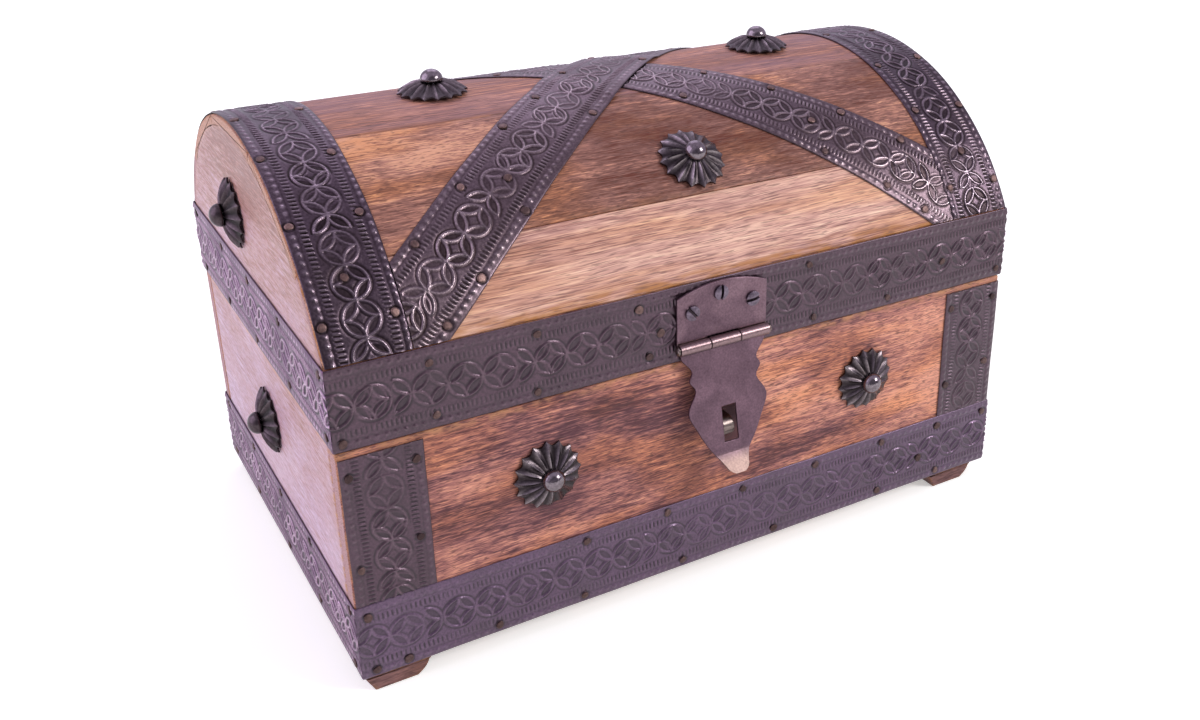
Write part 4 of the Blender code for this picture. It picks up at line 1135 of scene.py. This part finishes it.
@dataclass
class CrossStrip(Strip):
    """Diagonal strip on the dome, cut off at the end bands and the rim. Its middle is the crossing."""

    sense: int = 1
    climbs: bool = False
    crossing: tuple[float, float] = (1.0 * MM, -3.0 * MM)
    end_x: float = 0.0
    limit_x: float = 0.0
    limit_arc: float = 0.0
    lead: float = 7.0 * MM
    ramp: float = 10.0 * MM

    def directions(self, sense: int) -> tuple[Array, Array]:
        """Directions of a strap on the unrolled dome.

        Args:
            sense: 1 for a strap that climbs to the right, -1 for the other.

        Returns:
            Unit vectors along and across it.
        """
        along = np.array([self.end_x, sense * self.limit_arc])
        along /= np.linalg.norm(along)
        return along, np.array([-along[1], along[0]])

    def reach(self, t: Array) -> tuple[Array, Array]:
        """Where the line at each t meets the end bands or the rim, whichever comes first.

        Args:
            t: places across the strap.

        Returns:
            The first and the last s, for each t.
        """
        along, across = self.directions(self.sense)
        start = np.array(self.crossing) + across * t[:, None]
        limits = np.array([self.limit_x, self.limit_arc])
        ends = np.sort(np.stack([(-limits - start) / along, (limits - start) / along]), axis=0)
        return ends[0].max(axis=1), ends[1].min(axis=1)

    def surface(self, s: Array, t: Array) -> tuple[Array, Array]:
        """Points over the dome. The upper strap climbs by a sheet and a gap across the lower one.

        Args:
            s: places along the strap.
            t: places across it.

        Returns:
            The points, and unit normals.
        """
        along, across = self.directions(self.sense)
        spot = along * s[..., None] + across * t[..., None]
        lift = np.zeros_like(s)
        if self.climbs:
            away = np.abs(spot @ self.directions(-self.sense)[1]) - self.width / 2
            lift = (self.sizes.gap + self.sizes.sheet) * smooth_step(1.0 - (away - self.lead) / self.ramp)
        spot = spot + np.array(self.crossing)
        return self.sizes.dome(spot[..., 0], spot[..., 1], self.sizes.gap + lift)


def edge_nails(start: float, end: float, half: float, spacing: float, seed: int) -> Spots:
    """Nails along both edges of a strip at an uneven spacing, in millimetres.

    Args:
        start: where the strip starts.
        end: where it ends.
        half: distance of the two rows from the middle.
        spacing: usual distance between nails.
        seed: seed of the hand's unevenness.

    Returns:
        Pairs of distance along and across the strip.
    """
    draw = np.random.default_rng(seed)
    spots = []
    for row in (-half, half):
        count = max(2, round((end - start) / spacing))
        places = np.linspace(start, end, count) + draw.uniform(-4.0, 4.0, count)
        spots += list(zip(np.clip(places, start, end), row + draw.uniform(-0.8, 0.8, count)))
    return spots


# Nails, in millimetres along a strip and across it. Those that show in the photo are where they are there.
FRONT_NAILS: dict[str, Spots] = {
    "base_band": ((-145, 10.3), (-144, -13), (-132, -13), (-58, 11.7), (-22, 12.5), (14, 11.9), (51, 11.7),
                  (87, 11.7), (119, 10.7), (146, 10.5), (120, -12.8), (86, -12.6), (109, -2.9), (-96, -12.5),
                  (-60, -12.8), (-15, -12.6), (30, -12.9)),
    "rim_band": ((-114, 9.5), (-113, -10.7), (-146, -12.5), (-74, 10.3), (-33, 10), (-24, -1.6), (-29, -10.3),
                 (44, 11.5), (47, -12), (85, -12), (114, -2), (146, -12), (-75, -12.4)),
}
CORNER_NAILS: Spots = ((91, -12.0), (91.5, 12.0), (53.5, -11.6), (60, 10.6))
END_NAILS: Spots = (
    (-105, -12.6), (-68, -12.8), (-35, -12.6), (-1, -12.7), (34, -12.5), (70, -12.6), (106, -12.7),
    (-105, 12.0), (-67, 11.3), (-37, 11.4), (2, 11.6), (36, 11.8), (69, 11.5), (104, 12.0), (-90, -1))
UPPER_NAILS: Spots = (
    (-135, 12.3), (-105, 10.8), (-67, 12.6), (-40, 11.1), (-12, 11.3), (-91, -1), (-153, -12),
    (-132, -12.8), (-100, -12.8), (-39, -12.6), (22, 12), (58, 12.2), (95, 12.4), (128, 12),
    (20, -12.2), (57, -12), (93, -12.4), (131, -12))
LOWER_NAILS: Spots = (
    (42, 12.6), (71, 12.8), (102, 12.7), (130, 12.6), (38, -11), (91, 1), (100, -12), (130, -12),
    (150, -12), (-42, 12.4), (-76, 12.2), (-110, 12.5), (-138, 12), (-40, -12.3), (-74, -12.1),
    (-108, -12.5), (-136, -12.2))


@dataclass
class Binding:
    """All the iron strips and their nails."""

    sizes: ChestSizes
    nail_radius: float = 1.6 * MM
    nail_height: float = 0.5 * MM
    nail_rows: float = 12.2
    nail_spacing: float = 36.0
    fine_along: float = 0.34 * MM
    fine_across: float = 0.36 * MM
    dome_stamp: float = 0.62 * MM
    back_gap: float = 0.6 * MM

    def strips(self) -> list[Strip]:
        """Lay out all the strips.

        Returns:
            The strips, in the order in which they are built.
        """
        base = BlackenedIron("base_strip_blackened_iron", ridge="#685168", ground="#5a445b", recess="#291e27",
                             rust="#50404e", wax=0.5).material()
        rim = BlackenedIron("rim_strip_blackened_iron", wax=0.5).material()
        # The strips on the two ends are painted paler, with near-white ridges: painted light for the glare that the
        # ends catch.
        ends = BlackenedIron("end_strip_iron_painted_light", ridge="#d6bcd0", ground="#6f566c", recess="#251b23",
                             rust="#5f4b60", mottle=0.15, hollow=0.15).material()
        return [*self.wrapped("base_band", "body", base, ends, 100), *self.wrapped("rim_band", "lid", rim, ends, 200),
                *self.corners(rim), *self.domed()]

    def wrapped(self, node: str, body: str, iron: bpy.types.Material, ends: bpy.types.Material,
                seed: int) -> list[Strip]:
        """Lay out a strip that is wrapped round the chest and meets itself in the middle of the back.

        Args:
            node: name of the strip's node.
            body: the body that it moves with.
            iron: its finish in front and at the back.
            ends: its finish on the two ends, painted paler as painted light.
            seed: seed of the hand's unevenness.

        Returns:
            Its five runs.
        """
        sizes = self.sizes
        low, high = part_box(node)
        shared = dict(node=node, body=body, sizes=sizes, level=(low.z + high.z) / 2, width=high.z - low.z,
                      nail_shade=0.32)
        made: list[Strip] = [WrapStrip(f"{node}_front", nails=FRONT_NAILS[node], seed=seed, side=Side.FRONT,
                                       finish=iron, step_along=self.fine_along, step_across=self.fine_across,
                                       **shared)]
        long, deep = sizes.half_length / MM - 5, sizes.half_depth / MM - 5
        half_gap = self.back_gap / 2
        runs = (("left", Side.LEFT, (-deep, deep), ends, {}),
                ("right", Side.RIGHT, (-deep, deep), ends, {}),
                ("back_right", Side.BACK, (-long, -6), iron, {"last": -half_gap}),
                ("back_left", Side.BACK, (6, long), iron, {"first": half_gap}))
        for number, (place, side, (start, end), finish, limit) in enumerate(runs, 1):
            nails = edge_nails(start, end, self.nail_rows, self.nail_spacing, seed + number)
            made.append(WrapStrip(f"{node}_{place}", nails=nails, seed=seed + 11 * number, side=side, finish=finish,
                                  **limit, **shared))
        return made

    def corners(self, iron: bpy.types.Material) -> list[Strip]:
        """Lay out the two upright strips on the front, from the base band to just under the seam.

        Args:
            iron: their finish.

        Returns:
            The two strips.
        """
        made: list[Strip] = []
        for side in ("left", "right"):
            node = f"corner_band_{side}"
            low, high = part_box(node)
            made.append(CornerStrip(f"{node}_strip", node, "body", iron, self.sizes, CORNER_NAILS, 300 + len(side),
                                    width=high.x - low.x, middle_x=(low.x + high.x) / 2, start=low.z, end=high.z,
                                    nail_shade=0.2, step_along=self.fine_along, step_across=self.fine_across))
        return made

    def domed(self) -> list[Strip]:
        """Lay out the strips over the dome, from the rim band in front to the rim band at the back.

        The arc from the ridge to the rim is the dome's radius times the angle whose cosine is the
        height of the rim's top over the dome's axis, divided by the radius of the strip's inner face.

        Returns:
            The two end bands and the two crossing straps.
        """
        sizes = self.sizes
        gloss = BlackenedIron("dome_strip_waxed_iron", ridge="#91828a", ground="#4b3f47", recess="#1f1817",
                              rust="#3a3033", roughness=0.33, hollow=0.05, metallic=1.0).material()
        strap = BlackenedIron("cross_strap_waxed_iron", ridge="#97888b", ground="#5c4e54", recess="#2a2120",
                              rust="#4c3f42", roughness=0.34, hollow=0.05, metallic=1.0).material()
        rim_top = max(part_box("rim_band")[1].z, sizes.spring_z) + sizes.gap
        end_arc = sizes.dome_radius * math.acos((rim_top - sizes.dome_z) / (sizes.dome_radius + sizes.gap))
        made: list[Strip] = []
        for side, mirror in (("left", 1), ("right", -1)):
            node = f"end_band_{side}"
            low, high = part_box(node)
            spots = [(s, mirror * t) for s, t in END_NAILS]
            made.append(EndStrip(f"{node}_strip", node, "lid", gloss, sizes, spots, 400 + len(side),
                                 stamp=self.dome_stamp, width=high.x - low.x, middle_x=(low.x + high.x) / 2,
                                 start=-end_arc, end=end_arc))
        inner_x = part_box("end_band_right")[0].x
        for node, sense, spots in (("cross_strap_upper", 1, UPPER_NAILS), ("cross_strap_lower", -1, LOWER_NAILS)):
            made.append(CrossStrip(f"{node}_strip", node, "lid", strap, sizes, spots, 500 + 7 * sense,
                                   stamp=self.dome_stamp, sense=sense, climbs=sense > 0, end_x=inner_x + 15.0 * MM,
                                   limit_x=inner_x - 0.12 * MM, limit_arc=end_arc))
        return made

    def nails(self, name: str, body: str, seats: Array, directions: Array, shades: Array, seed: int) -> None:
        """Build the nail heads of one body as one piece.

        A head is turned from a profile of radius and height about its direction, with a rim that
        is a little out of round: radius (1 + 0.06 sin 2a + 0.04 sin 3a) with seeded phases.

        Args:
            name: name of the piece.
            body: the body that the nails move with.
            seats: where each head sits.
            directions: where each points.
            shades: how pale each is, 0 to 1.
            seed: seed of the unevenness.
        """
        draw = np.random.default_rng(seed)
        count = len(seats)
        tilt = directions + draw.normal(0.0, 0.06, directions.shape)
        axis = tilt / np.linalg.norm(tilt, axis=1, keepdims=True)
        helper = np.where(np.abs(axis[:, :1]) < 0.8, np.array([[1.0, 0.0, 0.0]]), np.array([[0.0, 0.0, 1.0]]))
        first = np.cross(axis, helper)
        first /= np.linalg.norm(first, axis=1, keepdims=True)
        second = np.cross(axis, first)
        wide = np.array([0.96, 1.0, 0.96, 0.84, 0.56, 0.2])
        tall = np.array([-0.5, 0.3, 0.66, 0.88, 0.98, 1.0])
        angle = np.arange(14) * 2 * np.pi / 14
        phase = draw.uniform(0.0, 2 * np.pi, (count, 2))
        round_off = 1 + 0.06 * np.sin(2 * angle + phase[:, :1]) + 0.04 * np.sin(3 * angle + phase[:, 1:])
        size = self.nail_radius * draw.uniform(0.9, 1.1, count)
        radial = wide[None, :, None] * round_off[:, None, :] * size[:, None, None]
        points = (seats[:, None, None] + first[:, None, None] * (radial * np.cos(angle))[..., None]
                  + second[:, None, None] * (radial * np.sin(angle))[..., None]
                  + axis[:, None, None] * (tall * self.nail_height)[None, :, None, None])
        rings, sides = len(wide), len(angle)
        single = grid_quads(rings, sides, close_columns=True)[:, ::-1]
        offset = np.arange(count) * rings * sides
        quads = (single[None] + offset[:, None, None]).reshape(-1, 4)
        ring = np.arange(sides)
        caps = [ring[::-1] + start for start in offset] + [ring + start + (rings - 1) * sides for start in offset]
        pale = np.clip(shades + draw.normal(0.0, 0.15, count), 0.0, 1.0)
        shade = np.broadcast_to(pale[:, None], (count, rings * sides))
        mesh = new_mesh(name, points, quads, caps, {"relief": shade}, sharp=60.0)
        finish = BlackenedIron(f"{name}_rusted_iron", ridge="#8c7069", ground="#5c4947", recess="#382b2c",
                               rust="#4f3b38", roughness=0.5)
        show(name, mesh, finish.material(), body)

    def build(self) -> None:
        """Build the strips, then the nails of each body."""
        seats: dict[str, list[tuple[Array, Array, Array]]] = {"body": [], "lid": []}
        for strip in self.strips():
            strip.build()
            seats[strip.body].append((*strip.nail_seats(), np.full(len(strip.nails), strip.nail_shade)))
        for number, (body, found) in enumerate(seats.items()):
            places, directions, shades = (np.concatenate(part) for part in zip(*found))
            self.nails(f"strip_nails_{body}", body, places, directions, shades, 900 + number)


@dataclass
class Rosettes:
    """Fluted cups under domed nails."""

    sizes: ChestSizes
    cup_radius: float = 13.8 * MM
    cup_height: float = 5.0 * MM
    cup_sheet: float = 0.7 * MM
    crown: float = 3.2 * MM
    flutes: int = 16
    rim_arch: float = 0.5 * MM
    flute_point: float = 1.6 * MM
    hole: float = 1.2 * MM
    head_radius: float = 4.5 * MM
    head_height: float = 4.3 * MM

    def cup(self) -> tuple[Array, Array, list[Array], Array]:
        """Cup about Z.

        The hollows fall straight from the crown to a rim that arches up a little, the ridges bend
        down by share ** 2.4 and reach out to points on the wood. Between them the height goes by
        v = |sin(flutes a / 2)|, so ridges are sharp and hollows round.

        Returns:
            Points, quads, no caps, and the relief at each point.
        """
        share = np.concatenate([[-1.0], np.linspace(0.0, 1.0, 13)])
        grow = np.clip(share, 0.0, 1.0)
        radius = np.where(share < 0, self.hole, self.crown + (self.cup_radius - self.crown) * grow)
        low = self.sizes.gap + self.cup_sheet
        height = self.cup_height + (low + self.rim_arch - self.cup_height) * grow
        crest = self.cup_height + (low - self.cup_height) * grow ** 2.4
        angle = np.arange(8 * self.flutes) * 2 * np.pi / (8 * self.flutes)
        hollow = np.abs(np.sin(self.flutes * angle / 2))[None]
        reach = radius[:, None] - self.flute_point * grow[:, None] * hollow
        top = height[:, None] + (crest - height)[:, None] * (1 - hollow)
        layers = []
        for drop, order in ((0.0, slice(None)), (self.cup_sheet, slice(None, None, -1))):
            layer = np.stack([reach * np.cos(angle), reach * np.sin(angle), top - drop], axis=-1)
            layers.append(layer[order])
        points = np.concatenate(layers)
        relief = np.concatenate([(1 - hollow) * np.ones_like(reach), np.zeros_like(reach)])
        quads = grid_quads(len(points), len(angle), close_columns=True, close_rows=True)
        return points.reshape(-1, 3), quads, [], relief.ravel()

    def head(self) -> tuple[Array, Array, list[Array], Array]:
        """Domed nail about Z: a quarter ellipse turned about the axis, over a short shank.

        Returns:
            Points, quads, the two caps, and the relief at each point.
        """
        turn = np.radians(np.linspace(0.0, 86.0, 12))
        seat = self.cup_height + self.sizes.gap
        radius = np.concatenate([[0.9 * MM, 0.9 * MM, 0.97 * self.head_radius], self.head_radius * np.cos(turn)])
        height = np.concatenate([[0.0, seat, seat], seat + 0.3 * MM + (self.head_height - 0.3 * MM) * np.sin(turn)])
        angle = np.arange(36) * 2 * np.pi / 36
        points = np.stack([radius[:, None] * np.cos(angle), radius[:, None] * np.sin(angle),
                           height[:, None] * np.ones_like(angle)], axis=-1)
        quads = grid_quads(len(radius), len(angle), close_columns=True)[:, ::-1]
        ring = np.arange(len(angle))
        caps = [ring[::-1], ring + (len(radius) - 1) * len(angle)]
        return points.reshape(-1, 3), quads, caps, np.full(points.shape[0] * points.shape[1], 0.7)

    def stance(self, node: str) -> tuple[Array, Array]:
        """Find where a rosette stands, from the middle of its node.

        Args:
            node: name of its cup.

        Returns:
            Its foot on the wood, and its outward direction.
        """
        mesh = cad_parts[node].data
        spots = np.empty(len(mesh.vertices) * 3)
        mesh.vertices.foreach_get("co", spots)
        x, y, z = spots.reshape(-1, 3).mean(axis=0)
        sizes = self.sizes
        if abs(x) > sizes.half_length:
            side = np.sign(x)
            return np.array([side * sizes.half_length, y, z]), np.array([side, 0.0, 0.0])
        if z < sizes.seam_z:
            return np.array([x, sizes.middle_y - sizes.half_depth, z]), np.array([0.0, -1.0, 0.0])
        angle = math.atan2(y - sizes.middle_y, z - sizes.dome_z)
        points, normals = sizes.dome(np.array([x]), np.array([angle * sizes.dome_radius]), np.zeros(1))
        return points[0], normals[0]

    def build(self) -> None:
        """Set a cup and its nail on every rosette's place."""
        cup_iron = BlackenedIron("rosette_burnished_iron", ridge="#7f7578", ground="#50484b", recess="#2c2628",
                                 rust="#40383b", roughness=0.31, metallic=1.0).material()
        head_iron = BlackenedIron("rosette_nail_polished_iron", ridge="#80777c", ground="#665d62", recess="#383134",
                                  rust="#564c50", roughness=0.2, polish=0.04, metallic=1.0).material()
        # The rosettes on the ends get a darker copy of the cup and nail iron: painted shade.
        painted_shade_iron = BlackenedIron("end_rosette_iron_painted_shade", ridge="#574d50", ground="#3a3235", recess="#1f1a1c",
                                  rust="#30292b", roughness=0.36, metallic=1.0).material()
        parts = (("cup", "cup_sheet", self.cup(), cup_iron, "blackened_iron", 32.0),
                 ("nail", "nail_head", self.head(), head_iron, "nail_steel", 50.0))
        places = {"front_left": "body", "front_right": "body", "left_end": "body", "right_end": "body",
                  "lid_left_end": "lid", "lid_right_end": "lid", "lid_front": "lid", "lid_back": "lid",
                  "ridge_left": "lid", "ridge_right": "lid"}
        for number, (place, body) in enumerate(places.items()):
            foot, axis = self.stance(f"rosette_{place}_cup")
            helper = np.array([1.0, 0.0, 0.0]) if abs(axis[0]) < 0.8 else np.array([0.0, 0.0, 1.0])
            first = np.cross(helper, axis)
            first /= np.linalg.norm(first)
            turn = math.radians(7.0 * number)
            second = np.cross(axis, first)
            base = np.stack([first * math.cos(turn) + second * math.sin(turn),
                             second * math.cos(turn) - first * math.sin(turn), axis])
            for node, piece, (points, quads, caps, relief), iron, slot, sharp in parts:
                name = f"rosette_{place}_{piece}"
                mesh = new_mesh(name, foot + points @ base, quads, caps, {"relief": relief}, sharp)
                # Rosettes on the ends take the darker copy: painted shade.
                finish = painted_shade_iron if place.endswith("_end") else iron
                show(name, mesh, finish, body, [f"rosette_{place}_{node}"])


@dataclass
class Fittings:
    """Hasp, staple and hinges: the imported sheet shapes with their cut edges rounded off."""

    edge: float = 0.22 * MM
    sharp: float = 38.0
    screw_head: float = 1.5 * MM
    screw_shank: float = 1.2 * MM
    screw_slot: float = 1.0 * MM

    def smoothed(self, node: str, body: str, finish: bpy.types.Material, edge: float) -> None:
        """Show a merged copy of a node with small rounds on its edges.

        Args:
            node: name of the node.
            body: the body that it moves with.
            finish: its material.
            edge: width of the rounds.
        """
        shell = bmesh.new()
        shell.from_mesh(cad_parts[node].data)
        bmesh.ops.remove_doubles(shell, verts=shell.verts, dist=0.002 * MM)
        bmesh.ops.dissolve_limit(shell, angle_limit=math.radians(1.0), verts=shell.verts, edges=shell.edges)
        mesh = bpy.data.meshes.new(f"{node}_rounded")
        shell.to_mesh(mesh)
        shell.free()
        mesh.shade_smooth()
        mesh.set_sharp_from_angle(angle=math.radians(self.sharp))
        piece = show(f"{node}_rounded", mesh, finish, body, [node])
        rounding = piece.modifiers.new("rounded_edges", "BEVEL")
        rounding.width = edge
        rounding.segments = 2
        rounding.limit_method = "ANGLE"
        rounding.angle_limit = math.radians(self.sharp)

    def screw(self, node: str, finish: bpy.types.Material, turn: float) -> None:
        """Build a screw with a low dome and a slot filed across it, turned about an axis along Y.

        The dome falls with the square of the radius. The slot drops by a smooth step at its edges.

        Args:
            node: name of the node that it stands for.
            finish: its material, darker where the relief is low.
            turn: direction of the slot, in degrees from level.
        """
        low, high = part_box(node)
        radius = (high.x - low.x) / 2
        share = np.concatenate([np.full(2, self.screw_shank / radius), np.ones(2), np.linspace(0.985, 0.02, 30)])
        angle = np.arange(96) * 2 * np.pi / 96
        away = np.abs(share[:, None] * radius * np.sin(angle - math.radians(turn)))
        dome = self.screw_head * (1.0 - 0.45 * share ** 2)
        height = np.broadcast_to(dome[:, None], away.shape).copy()
        cut = smooth_step((self.screw_slot / 2 - away) / (0.15 * MM) + 0.5)
        height -= 0.62 * self.screw_head * cut
        height[:3] = np.array([self.screw_head - (high.y - low.y), 0.0, 0.0])[:, None]
        spread = (share * radius)[:, None]
        points = np.stack([(low.x + high.x) / 2 + spread * np.cos(angle), low.y + self.screw_head - height,
                           (low.z + high.z) / 2 + spread * np.sin(angle)], axis=-1)
        relief = 0.7 * (1.0 - cut)
        rows, columns = away.shape
        ring = np.arange(columns)
        mesh = new_mesh(f"{node}_head", points, grid_quads(rows, columns, close_columns=True)[:, ::-1],
                        [ring[::-1], ring + (rows - 1) * columns], {"relief": relief}, sharp=45.0)
        show(f"{node}_head", mesh, finish, "lid", [node])

    def build(self) -> None:
        """Dress the hasp, its screws and staple, and the two hinges."""
        tip_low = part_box("hasp_leaf")[0].z
        pin_low, pin_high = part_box("hasp_pin")
        pin_z = (pin_low.z + pin_high.z) / 2
        hasp = SheetSteel("hasp_dulled_sheet_steel", "#735b66", "#65505a", 0.46, tip="#988178",
                          tip_z=(tip_low + 3.0 * MM, tip_low + 8.0 * MM), rolled_z=pin_z).material()
        plate = SheetSteel("hasp_plate_dulled_sheet_steel", "#755e67", "#65505a", 0.46, rolled_z=pin_z).material()
        staple = SheetSteel("staple_rubbed_steel", "#8a7d78", "#5c504c", 0.3).material()
        screw = BlackenedIron("screw_blued_iron", ridge="#7d7280", ground="#665b68", recess="#1d181b",
                              rust="#54474f", roughness=0.36, metallic=1.0).material()
        hinge = SheetSteel("hinge_dulled_sheet_steel", "#6f5c65", "#574750", 0.44).material()
        self.smoothed("hasp_plate", "lid", plate, self.edge)
        self.smoothed("hasp_leaf", "hasp", hasp, self.edge)
        self.smoothed("hasp_pin", "lid", staple, 0.15 * MM)
        self.smoothed("hasp_staple", "body", staple, self.edge)
        for place, turn in (("left", 130.0), ("top", 85.0), ("right", 8.0)):
            self.screw(f"hasp_screw_{place}", screw, turn)
        for side in ("left", "right"):
            self.smoothed(f"hinge_{side}_body_leaf", "body", hinge, self.edge)
            self.smoothed(f"hinge_{side}_lid_leaf", "lid", hinge, self.edge)
            self.smoothed(f"hinge_{side}_pin", "body", staple, 0.15 * MM)


def seen_directly(tree: bpy.types.NodeTree) -> bpy.types.NodeSocket:
    """Tell the rays that show a background from those that only light the chest.

    Args:
        tree: node tree to add to.

    Returns:
        Socket that is 1 for rays of the camera, of reflections and through glass, else 0.
    """
    path = add_node(tree, "ShaderNodeLightPath")
    seen = path.outputs["Is Camera Ray"]
    for name in ("Is Glossy Ray", "Is Transmission Ray"):
        seen = add_node(tree, "ShaderNodeMath", {0: seen, 1: path.outputs[name]}, operation="MAXIMUM").outputs[0]
    return seen


@dataclass
class Studio:
    """Pale floor, soft lamps and the camera at the photograph's angle."""

    sizes: ChestSizes
    azimuth: float = -31.67
    elevation: float = 23.97
    roll: float = 0.1
    distance: float = 613.6 * MM
    aim: tuple[float, float, float] = (54.67 * MM, 0.0, 73.69 * MM)
    focal_pixels: float = 1292.71
    centre_pixels: tuple[float, float] = (704.53, 301.10)
    floor_half: float = 6.0
    floor_glow: float = 0.42
    world_level: float = 0.52
    rear: float = 0.37
    mirror_tint: str = "#ece2fa"

    def camera(self) -> None:
        """Place the camera. The shift is how far the view's axis lies from the middle of the frame."""
        turn, lift = math.radians(self.azimuth), math.radians(self.elevation)
        back = Vector((math.sin(turn) * math.cos(lift), -math.cos(turn) * math.cos(lift), math.sin(lift)))
        lens = bpy.data.cameras.new("photo_camera")
        lens.sensor_width = 36.0
        lens.lens = self.focal_pixels / PHOTO_WIDTH * lens.sensor_width
        lens.shift_x = (PHOTO_WIDTH / 2 - self.centre_pixels[0]) / PHOTO_WIDTH
        lens.shift_y = (self.centre_pixels[1] - PHOTO_HEIGHT / 2) / PHOTO_WIDTH
        lens.clip_start = 0.01
        camera = put_in_scene("photo_camera", lens)
        camera.location = Vector(self.aim) + Vector((0.0, self.sizes.middle_y, 0.0)) + back * self.distance
        camera.rotation_mode = "QUATERNION"
        sight = (-back).to_track_quat("-Z", "Y")
        camera.rotation_quaternion = Quaternion(back, math.radians(self.roll)) @ sight
        bpy.context.scene.camera = camera

    def floor(self) -> None:
        """Lay a pale matt floor that keeps the chest's shadow."""
        half = self.floor_half
        points = np.array([[-half, -half, 0.0], [half, -half, 0.0], [half, half, 0.0], [-half, half, 0.0]])
        mesh = new_mesh("floor", points, np.array([[0, 1, 2, 3]]))
        made, tree, sockets = new_material("pale_floor")
        sockets["Base Color"].default_value = linear("#f6f6f6")
        sockets["Roughness"].default_value = 1.0
        sockets["Specular IOR Level"].default_value = 0.0
        sockets["Emission Color"].default_value = (1.0, 1.0, 1.0, 1.0)
        lit = add_node(tree, "ShaderNodeMath", {0: seen_directly(tree), 1: self.floor_glow}, operation="MULTIPLY")
        tree.links.new(lit.outputs[0], sockets["Emission Strength"])
        mesh.materials.append(made)
        floor = put_in_scene("floor", mesh)

    def lamps(self) -> None:
        """Hang the soft lamps, all aimed at the middle of the chest: name, place, size, power and colour."""
        aim = Vector((0.0, 0.0, 0.1))
        plan = (
            ("key_lamp", (1.28, -1.43, 1.24), 0.74, 27.0, "#ffffff"),
            ("left_lamp", (-1.5, 0.5, 1.0), 1.8, 20.0, "#f0e4ff"),
            ("back_lamp", (0.6, 1.35, 1.7), 1.5, 9.5, "#f0e6ff"),
        )
        for name, place, size, power, colour in plan:
            lamp = bpy.data.lights.new(name, "AREA")
            lamp.shape = "SQUARE"
            lamp.size = size
            lamp.energy = power
            lamp.color = linear(colour)[:3]
            hung = put_in_scene(name, lamp)
            hung.location = place
            hung.rotation_mode = "QUATERNION"
            hung.rotation_quaternion = (aim - Vector(place)).to_track_quat("-Z", "Y")

    def world(self) -> None:
        """White walls for the camera and reflections, and an even soft light.

        What metal mirrors is slightly tinted, and dimmer from behind the camera, where y is below -0.45.
        """
        world = bpy.data.worlds.new("white_studio")
        bpy.context.scene.world = world
        world.use_nodes = True
        tree = world.node_tree
        tree.nodes.clear()
        seen = seen_directly(tree)
        camera = add_node(tree, "ShaderNodeLightPath").outputs["Is Camera Ray"]
        mirrored = add_node(tree, "ShaderNodeMath", {0: 1.0, 1: camera}, operation="SUBTRACT").outputs[0]
        ray = add_node(tree, "ShaderNodeTexCoord").outputs["Generated"]
        parts = add_node(tree, "ShaderNodeSeparateXYZ", {0: ray}).outputs
        behind = add_node(tree, "ShaderNodeMapRange", {0: parts[1], 1: -0.45, 2: -0.7, 4: mirrored},
                          interpolation_type="SMOOTHSTEP")
        wall = add_node(tree, "ShaderNodeMapRange", {0: behind.outputs[0], 3: 1.0, 4: self.rear}).outputs[0]
        level = add_node(tree, "ShaderNodeMix", {0: seen, 2: self.world_level, 3: wall}).outputs[0]
        shade = add_node(tree, "ShaderNodeMath", {0: mirrored, 1: seen}, operation="MULTIPLY").outputs[0]
        tint = add_node(tree, "ShaderNodeMix", {0: shade, 6: (1.0, 1.0, 1.0, 1.0), 7: linear(self.mirror_tint)},
                        data_type="RGBA").outputs[2]
        light = add_node(tree, "ShaderNodeBackground", {0: tint, 1: level})
        add_node(tree, "ShaderNodeOutputWorld", {0: light.outputs[0]})

    def build(self) -> None:
        """Set up the whole studio."""
        bpy.context.scene.view_settings.view_transform = "Standard"
        self.camera()
        self.floor()
        self.lamps()
        self.world()


def main() -> None:
    """Build the chest's looks in order."""
    logging.basicConfig(level=logging.INFO, format="%(name)s: %(message)s")
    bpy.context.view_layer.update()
    sizes = ChestSizes.measure()
    Studio(sizes).build()
    Carcass(sizes).build()
    Binding(sizes).build()
    Rosettes(sizes).build()
    Fittings().build()


if __name__ == "__main__":
    main()
